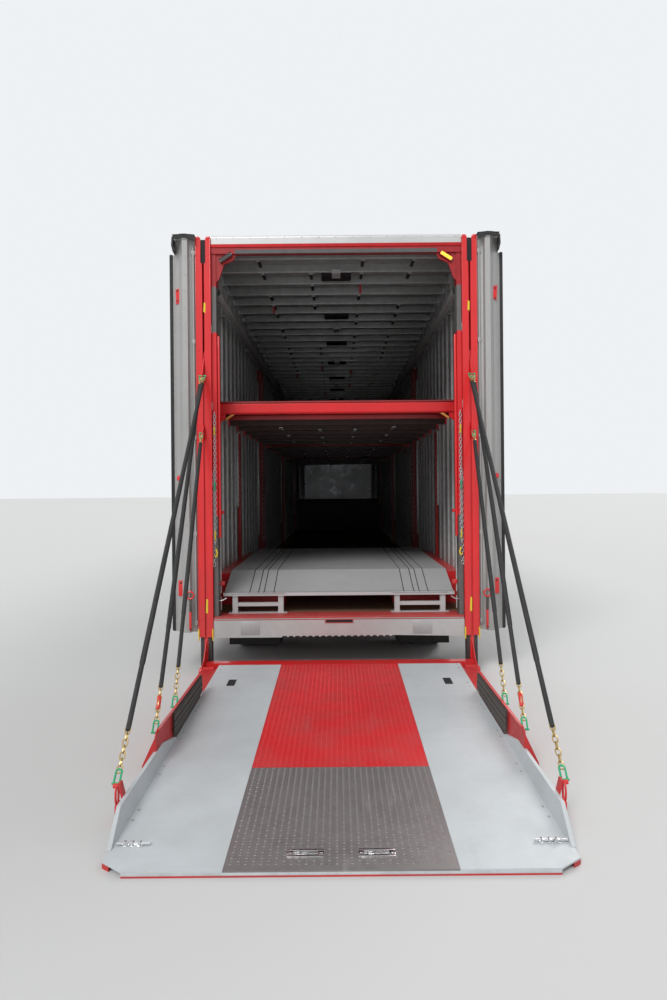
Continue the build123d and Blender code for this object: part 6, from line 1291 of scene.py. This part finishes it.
# Wheels: rubber, tread and rim are told apart by their distance from the axle
def wheelFinish(name, axleY, axleZ, tyreRadius, rimRadius, rimColor, rimMetal):
    mat, tree, shader, coords = startMaterial(name, (0.02, 0.02, 0.021), 0.75)
    parts = tree.nodes.new("ShaderNodeSeparateXYZ")
    tree.links.new(coords, parts.inputs[0])
    calc = partial(mathNode, tree)
    dy = calc("SUBTRACT", parts.outputs["Y"], axleY + rearFace)
    dz = calc("SUBTRACT", parts.outputs["Z"], axleZ)
    radius = calc("SQRT", calc("ADD", calc("MULTIPLY", dy, dy), calc("MULTIPLY", dz, dz)))
    rimMask = rampNode(tree, radius, rimRadius + 0.003, rimRadius - 0.001)
    treadMask = rampNode(tree, radius, tyreRadius - 0.02, tyreRadius - 0.012)
    # tread blocks: ribs across the width, sipes round the tyre, staggered from rib to rib
    ribs = calc("ABSOLUTE", calc("SINE", calc("MULTIPLY", parts.outputs["X"], 74.0)))
    lean = calc("MULTIPLY", parts.outputs["X"], 30.0)
    turn = calc("ADD", calc("MULTIPLY", calc("ARCTAN2", dz, dy), 34.0), lean)
    sipes = calc("ABSOLUTE", calc("SINE", turn))
    block = calc("MULTIPLY", rampNode(tree, ribs, 0.16, 0.3), rampNode(tree, sipes, 0.14, 0.3))
    depth = calc("MULTIPLY", calc("SUBTRACT", block, 1.0), treadMask)
    # fine rings on the sidewall
    rings = calc("MULTIPLY", calc("SINE", calc("MULTIPLY", radius, 620.0)), 0.08)
    dirtMask = placeGroup(tree, dirtGroup, coords, Reach=1.1, Amount=0.55)["Mask"]
    mottle = placeGroup(tree, mottleGroup, coords, Scale=5.0)
    rubber = mixColor(tree, mottle["Fine"], (0.02, 0.02, 0.021), (0.034, 0.033, 0.032))
    # grooves between the tread blocks are mixed to near-black: painted shade in the grooves
    rubber = mixColor(tree, calc("MULTIPLY", depth, -1.0, clamp=True), rubber, (0.006, 0.006, 0.006))
    rubber = mixColor(tree, dirtMask, rubber, (0.1, 0.09, 0.08))
    metal = mixColor(tree, calc("MULTIPLY", mottle["Fine"], 0.4), rimColor,
                     tuple(c * 0.7 for c in rimColor))
    hub = rampNode(tree, radius, 0.155, 0.12)
    metal = mixColor(tree, calc("MULTIPLY", hub, 0.5), metal, (0.12, 0.11, 0.1))
    height = calc("ADD", depth, calc("MULTIPLY", rings, calc("SUBTRACT", 1.0, rimMask)))
    for label, value in (
        ("Base Color", mixColor(tree, rimMask, rubber, metal)),
        ("Metallic", calc("MULTIPLY", rimMask, rimMetal)),
        ("Roughness", calc("SUBTRACT", 0.78, calc("MULTIPLY", rimMask, 0.5))),
        ("Normal", bumpNode(tree, height, 0.9, 0.012)),
    ):
        tree.links.new(value, shader.inputs[label])
    return mat


greyRim, driveRim, frontRim = (0.55, 0.55, 0.54), (0.74, 0.75, 0.76), (0.78, 0.79, 0.8)
wheelRows = (
    # starts of the nodes' and pieces' names, axle y and z, tyre and rim radius, disc x, rim colour and metal
    ("trailer_wheel_rear", "trailerWheelRear", 1.18, 0.4, 0.4, 0.225, 0.87, greyRim, 0.2),
    ("trailer_wheel_front", "trailerWheelFront", 2.43, 0.4, 0.4, 0.225, 0.87, greyRim, 0.2),
    ("drive_wheel_rear", "driveWheelRear", 14.326, 0.52, 0.52, 0.29, 0.925, driveRim, 1.0),
    ("drive_wheel_front", "driveWheelFront", 15.646, 0.52, 0.52, 0.29, 0.925, driveRim, 1.0),
    ("front_wheel", "frontWheel", 21.086, 0.52, 0.52, 0.29, 1.08, frontRim, 1.0),
)


def nutShape(side, length=0.034, radius=0.0165):
    # Wheel nut with its cap, pointing away from the truck's middle
    bm = bmesh.new()
    addTurned(bm, Vector((0, 0, 0)), Vector((side, 0, 0)), [
        (-0.002, radius * 1.25), (0.004, radius * 1.25), (0.0045, radius), (length * 0.7, radius * 0.92),
        (length, radius * 0.4)], 8)
    return bm


def makeWheels():
    nuts = {side: shapeObject("nut" + name, nutShape(side)) for name, side in leftRight}
    small = {side: shapeObject("capBolt" + name, nutShape(side, 0.012, 0.008)) for name, side in leftRight}
    for start, name, axleY, axleZ, tyreRadius, rimRadius, disc, color, metal in wheelRows:
        mat = wheelFinish(name + "Finish", axleY, axleZ, tyreRadius, rimRadius, color, metal)
        for sideName, side in leftRight:
            body = f"{start}_{sideName}"
            paint(nodes[body], mat)
            bm = bmesh.new()
            out = Vector((side, 0, 0))
            face = side * (disc + 0.011)
            repeatInto(bm, ringTree, nuts[side], {
                "Centre": place(face, axleY, axleZ), "Radius": 0.168, "Count": 10, "Phase": 0.5})
            hub = place(side * (disc + 0.056), axleY, axleZ)
            addTurned(bm, hub, out,
                      [(0, 0.074), (0.02, 0.074), (0.024, 0.066), (0.038, 0.062), (0.046, 0.04),
                       (0.049, 0.012)], 28)
            repeatInto(bm, ringTree, small[side],
                       {"Centre": hub + out * 0.02, "Radius": 0.0695, "Count": 8})
            # valve between two hand holes
            stem = place(face, axleY + 0.15 * rimRadius, axleZ + 0.8 * rimRadius)
            addTurned(bm, stem, Vector((side, 0, -0.1)),
                      [(0, 0.006), (0.05, 0.006), (0.052, 0.008), (0.064, 0.007)], 8)
            finishPiece(f"{name}Nuts{sideName.capitalize()}", bm, body, "chrome")
    for shape in (*nuts.values(), *small.values()):
        bpy.data.objects.remove(shape)


makeWheels()
print("wheels dressed:", pieceCount["made"], "pieces")

# Tractor: glass, seals, wipers, mirrors, lamps, grille mesh, tank caps, treads and heat shields
cabDetails = {
    "front": 22.286, "screenFoot": 1.93, "screenRake": 0.643, "screenFront": 20.326,
    # x and z round half of the windscreen
    "paneRows": ((0.02, 1.98), (0.962, 1.98), (0.912, 2.7), (0.02, 2.7)),
    # distance behind the front and z round the windows
    "windowRows": ((2.14, 1.83), (2.2, 1.96), (2.57, 2.62), (3.07, 2.62), (3.07, 1.83)),
    "sleeperRows": ((3.75, 2.05), (3.75, 2.4), (4.3, 2.4), (4.3, 2.05)),
    "wiperSpans": ((-0.86, -0.3), (0.08, 0.64)), "mirrorX": (1.23, 1.355), "mirrorY": 19.9958,
    "mirrorSpans": ((1.955, 2.25), (2.275, 2.445)), "mirrorRim": ((1.222, 1.363), 19.994, (1.945, 2.458)),
}


def screenY(z, d=cabDetails, inset=0.0):
    return d["screenFront"] - (z - d["screenFoot"]) * d["screenRake"] - inset


def softCorners(points, cut=0.05, steps=4):
    # Closed loop through the points with each corner rounded off
    made = []
    count = len(points)
    for i, corner in enumerate(points):
        corner = Vector(corner)
        ends = []
        for other in (points[i - 1], points[(i + 1) % count]):
            way = Vector(other) - corner
            ends.append(corner + way.normalized() * min(cut, way.length * 0.4))
        for k in range(steps + 1):
            t = k / steps
            made.append(tuple(ends[0] * (1 - t) ** 2 + corner * 2 * t * (1 - t) + ends[1] * t ** 2))
    return made


def rectangle(side, xs, y, zs):
    return [(side * x, y, z) for x, z in ((xs[0], zs[0]), (xs[1], zs[0]), (xs[1], zs[1]), (xs[0], zs[1]))]


def addWindow(glass, seal, side, glassX, sealX, rows, front, cuts, radius):
    # Pane in the cab's side and the seal round it
    inner, outer = (softCorners([(side * x, front - back, z) for back, z in rows], cut)
                    for x, cut in zip((glassX, sealX), cuts))
    addPlate(glass, inner, (-side * 0.005, 0, 0))
    addPath(seal, outer, radius, closed=True)


def makeCabGlass(d):
    pane, seal, wiper = newMeshes(3)
    for side in (-1, 1):
        addPlate(pane, softCorners([(side * x, screenY(z, d, 0.026), z) for x, z in d["paneRows"]]),
                 (0, -0.005, -0.003))
        addPath(seal, softCorners([(side * x * 0.998, screenY(z, d, 0.003), z) for x, z in d["paneRows"]],
                                  0.06),
                0.0125, closed=True)
        addWindow(pane, seal, side, 1.104, 1.117, d["sleeperRows"], d["front"], (0.07, 0.07), 0.012)
    for x0, x1 in d["wiperSpans"]:
        middle = (x0 + x1) / 2
        pivot = (middle - 0.22, screenY(1.965, d, -0.02), 1.965)
        tip = (middle, screenY(2.2, d, -0.03), 2.2)
        addPath(wiper, [pivot, ((pivot[0] + tip[0]) / 2, screenY(2.07, d, -0.04), 2.07), tip], 0.008)
        addPath(wiper, [(x0, screenY(2.06, d, -0.014), 2.06), (middle, screenY(2.2, d, -0.018), 2.2),
                        (x1, screenY(2.34, d, -0.014), 2.34)], 0.009, 6)
        addTurned(wiper, place(*pivot) - Vector((0, 0.02, 0)), Vector((0, 1, 0.5)),
                  [(0, 0.02), (0.03, 0.018), (0.034, 0.01)], 12)
    finishPieces("tractor", ("cabGlass", pane, "glassTinted"),
                 ("cabSeals", seal, "rubberBlack"), ("wipers", wiper, "rubberBlack"))
    for sideName, side in leftRight:
        pane, seal, mirror, trim = newMeshes(4)
        addWindow(pane, seal, side, 1.1, 1.1185, d["windowRows"], d["front"], (0.05, 0.06), 0.0115)
        for span in d["mirrorSpans"]:
            addPlate(mirror, softCorners(rectangle(side, d["mirrorX"], d["mirrorY"], span), 0.03),
                     (0, -0.003, 0))
        addPath(trim, softCorners(rectangle(side, *d["mirrorRim"]), 0.035), 0.006, closed=True)
        addBox(trim, (side * 1.119, side * 1.127), (19.19, 19.39), (1.665, 1.765), 0.004)
        label = sideName.capitalize()
        finishPieces(f"cab_door_{sideName}", ("doorGlass" + label, pane, "glassTinted"),
                     ("doorSeal" + label, seal, "rubberBlack"),
                     ("mirrorGlass" + label, mirror, "mirrorFace"),
                     ("doorTrim" + label, trim, "chrome"))


makeCabGlass(cabDetails)

trimDetails = {
    "markerX": (-0.8, -0.16, 0, 0.16, 0.8), "fogX": 0.8, "fogZ": 0.48, "capTilt": 38, "tailX": 0.3,
    "tailZ": 0.92,
    # x and radius of the lamps in each headlamp
    "headlamps": ((0.765, 0.052), (0.876, 0.044)), "headlampZ": 0.95, "stepZ": (0.4105, 0.7305),
    "stepPitch": 0.052,
}


def makeTractorTrim(d):
    amber, chromed, clear, red, dark, lampChrome, lampClear, lampAmber, shield, hole = newMeshes(10)
    ahead = Vector((0, 1, 0))
    treads = []
    for x in d["markerX"]:
        addTurned(amber, place(x - 0.062, 19.526, 2.895), Vector((1, 0, 0)),
                  [(0, 0.018), (0.006, 0.0285), (0.118, 0.0285), (0.124, 0.018)], 16)
    for side in (-1, 1):
        addRod(chromed, (side * 1.154, 19.056, 1.452), (side * 1.154, 19.056, 2.298), 0.0145, 14)
        # fog lamps in the bumper
        for bm, y, rows, segments in (
            (chromed, 22.252, ((0, 0.0685), (0.02, 0.0685), (0.026, 0.062)), 28),
            (clear, 22.262, ((0, 0.056), (0.012, 0.056), (0.018, 0.04), (0.02, 0.015)), 24),
        ):
            addTurned(bm, place(side * d["fogX"], y, d["fogZ"]), ahead, rows, segments)
        # tank filler caps
        angle = math.radians(d["capTilt"])
        out = Vector((side * math.sin(angle), 0, math.cos(angle)))
        addTurned(chromed, place(side * 0.86, 17.95, 0.66) + out * 0.305, out,
                  [(0, 0.062), (0.012, 0.062), (0.013, 0.05), (0.034, 0.048), (0.04, 0.04)], 20)
        # tail lamps on the frame's end
        x, z = side * d["tailX"], d["tailZ"]
        addTurned(red, place(x, 13.7, z), -ahead,
                  [(0, 0.05), (0.012, 0.05), (0.02, 0.04), (0.022, 0.015)], 20)
        addBox(dark, around(x, 0.07), (13.698, 13.73), (0.85, 0.99), 0.006)
        # headlamps' reflectors and turn lamps ride on the bonnet
        for x, radius in d["headlamps"]:
            addTurned(lampChrome, place(side * x, 22.0305, d["headlampZ"]), ahead,
                      [(0, radius), (0.008, radius), (0.009, radius * 0.82), (0.006, radius * 0.8)], 28)
            addTurned(lampClear, place(side * x, 22.034, d["headlampZ"]), ahead,
                      [(0, radius * 0.78), (0.004, radius * 0.7), (0.0065, radius * 0.4),
                       (0.0075, radius * 0.1)], 24)
        addBox(lampAmber, (side * 1.212, side * 1.2185), (20.52, 20.62), (1.0, 1.045), 0.003)
        treads += [(place(side * 0.9, 19.38, z), (side * d["stepPitch"], 0, 0), 5, zero,
                    (0, d["stepPitch"], 0), 15)
                   for z in d["stepZ"]]
    finishPieces("tractor", ("cabMarkerLenses", amber, "lampAmber"),
                 ("tractorChrome", chromed, "chrome"), ("fogLenses", clear, "lampClear"),
                 ("tailLenses", red, "lampRed"), ("tailHousings", dark, "steelDark"))
    finishPieces("bonnet", ("headlampRims", lampChrome, "chrome"),
                 ("headlampLenses", lampClear, "lampClear"),
                 ("fenderLamps", lampAmber, "lampAmber"))
    fieldPiece("grilleMesh", slabShape(0.003, 0.004, 0.57), "bonnet", "steelDark",
               [(place(-0.39, 22.104, 1.15), (0.02, 0, 0), 40)])
    fieldPiece("stepTreads", domeShape(0.013, 0.003, 8), "tractor", "dullAluminium", treads)
    # thin dark discs stand for the heat shields' holes: painted shade
    addTurned(hole, Vector((0, 0, -0.001)), Vector((0, 0, 1)), [(0, 0.013), (0.0022, 0.012)], 8)
    bmesh.ops.rotate(hole, verts=hole.verts, cent=(0, 0, 0), matrix=Matrix.Rotation(-math.pi / 2, 3, "X"))
    shape = shapeObject("shieldHole", hole)
    for side in (-1, 1):
        repeatInto(shield, ringTree, shape, {
            "Centre": place(side * 0.93, 16.826, 1.45), "Radius": 0.0745, "Count": 10,
            "Axis Tilt": (0, -math.pi / 2, 0), "Rows": 16, "Row Step": 0.048})
    bpy.data.objects.remove(shape)
    finishPiece("shieldHoles", shield, "tractor", "holeDark")


makeTractorTrim(trimDetails)
print("tractor dressed:", pieceCount["made"], "pieces")

# Trailer sides, roof edge and nose: rivets, marker lamps and reflecting strips
sideDetails = {
    "outer": 1.3, "ribPitch": 0.305, "rivetPitch": 0.17, "stripLength": 0.3, "stripPitch": 0.37,
    "stripGap": (9.25, 10.3), "noseX": (-1.02, -0.16, 0, 0.16, 1.02),
    # y and z of the lower marker lamps, with the rear one in red
    "lamps": ((0.35, 0.46), (4.2, 0.46), (8.0, 0.46), (11.9, 0.46), (15.7, 1.31)),
    # y, z, number up and number along of the rivets on the upper and lower parts
    "rivets": ((0.24, 2.55, 9, 51), (3.29, 0.52, 12, 19), (10.61, 0.52, 12, 8)),
}


def makeTrailerSides(d):
    amber, red, white = newMeshes(3)
    fields = []
    for side in (-1, 1):
        for y, z in d["lamps"]:
            bm = red if y < 1 else amber
            addBox(bm, (side * 1.2995, side * 1.309), around(y, 0.05), around(z, 0.02), 0.004)
            addBox(bm, (side * 1.2995, side * 1.308), around(y, 0.045), (4.018, 4.045), 0.004)
        # reflecting strips along the lower edge, red and white by turns
        for i in range(26):
            y = 3.35 + i * d["stripPitch"]
            if d["stripGap"][0] < y + d["stripLength"] and y < d["stripGap"][1]:
                continue
            addBox(red if i % 2 else white, (side * 1.2998, side * 1.3008), (y, y + d["stripLength"]),
                   (0.352, 0.402))
        fields += [(place(side * d["outer"], y, z), (0, 0, d["rivetPitch"]), up, facingSide(side),
                    (0, d["ribPitch"], 0), along) for y, z, up, along in d["rivets"]]
    for x in d["noseX"]:
        addBox(amber, around(x, 0.045), (16.146, 16.158), (3.985, 4.015), 0.004)
    finishPieces("trailer", ("sideMarkersAmber", amber, "lampAmber"),
                 ("sideMarkersRed", red, "lampRed"), ("sideStripsWhite", white, "deckWhite"))
    fieldPiece("sideRivets", domeShape(0.006, 0.003), "trailer", "sheetSilver", fields)
    fieldPiece("roofRivets", domeShape(0.006, 0.0025, 5), "trailer", "sheetSilver",
               [(place(-1.2, 0.38 + i * 0.812, 4.0903), (0.16, 0, 0), 16) for i in range(19)])


makeTrailerSides(sideDetails)
print("trailer sides dressed:", pieceCount["made"], "pieces")
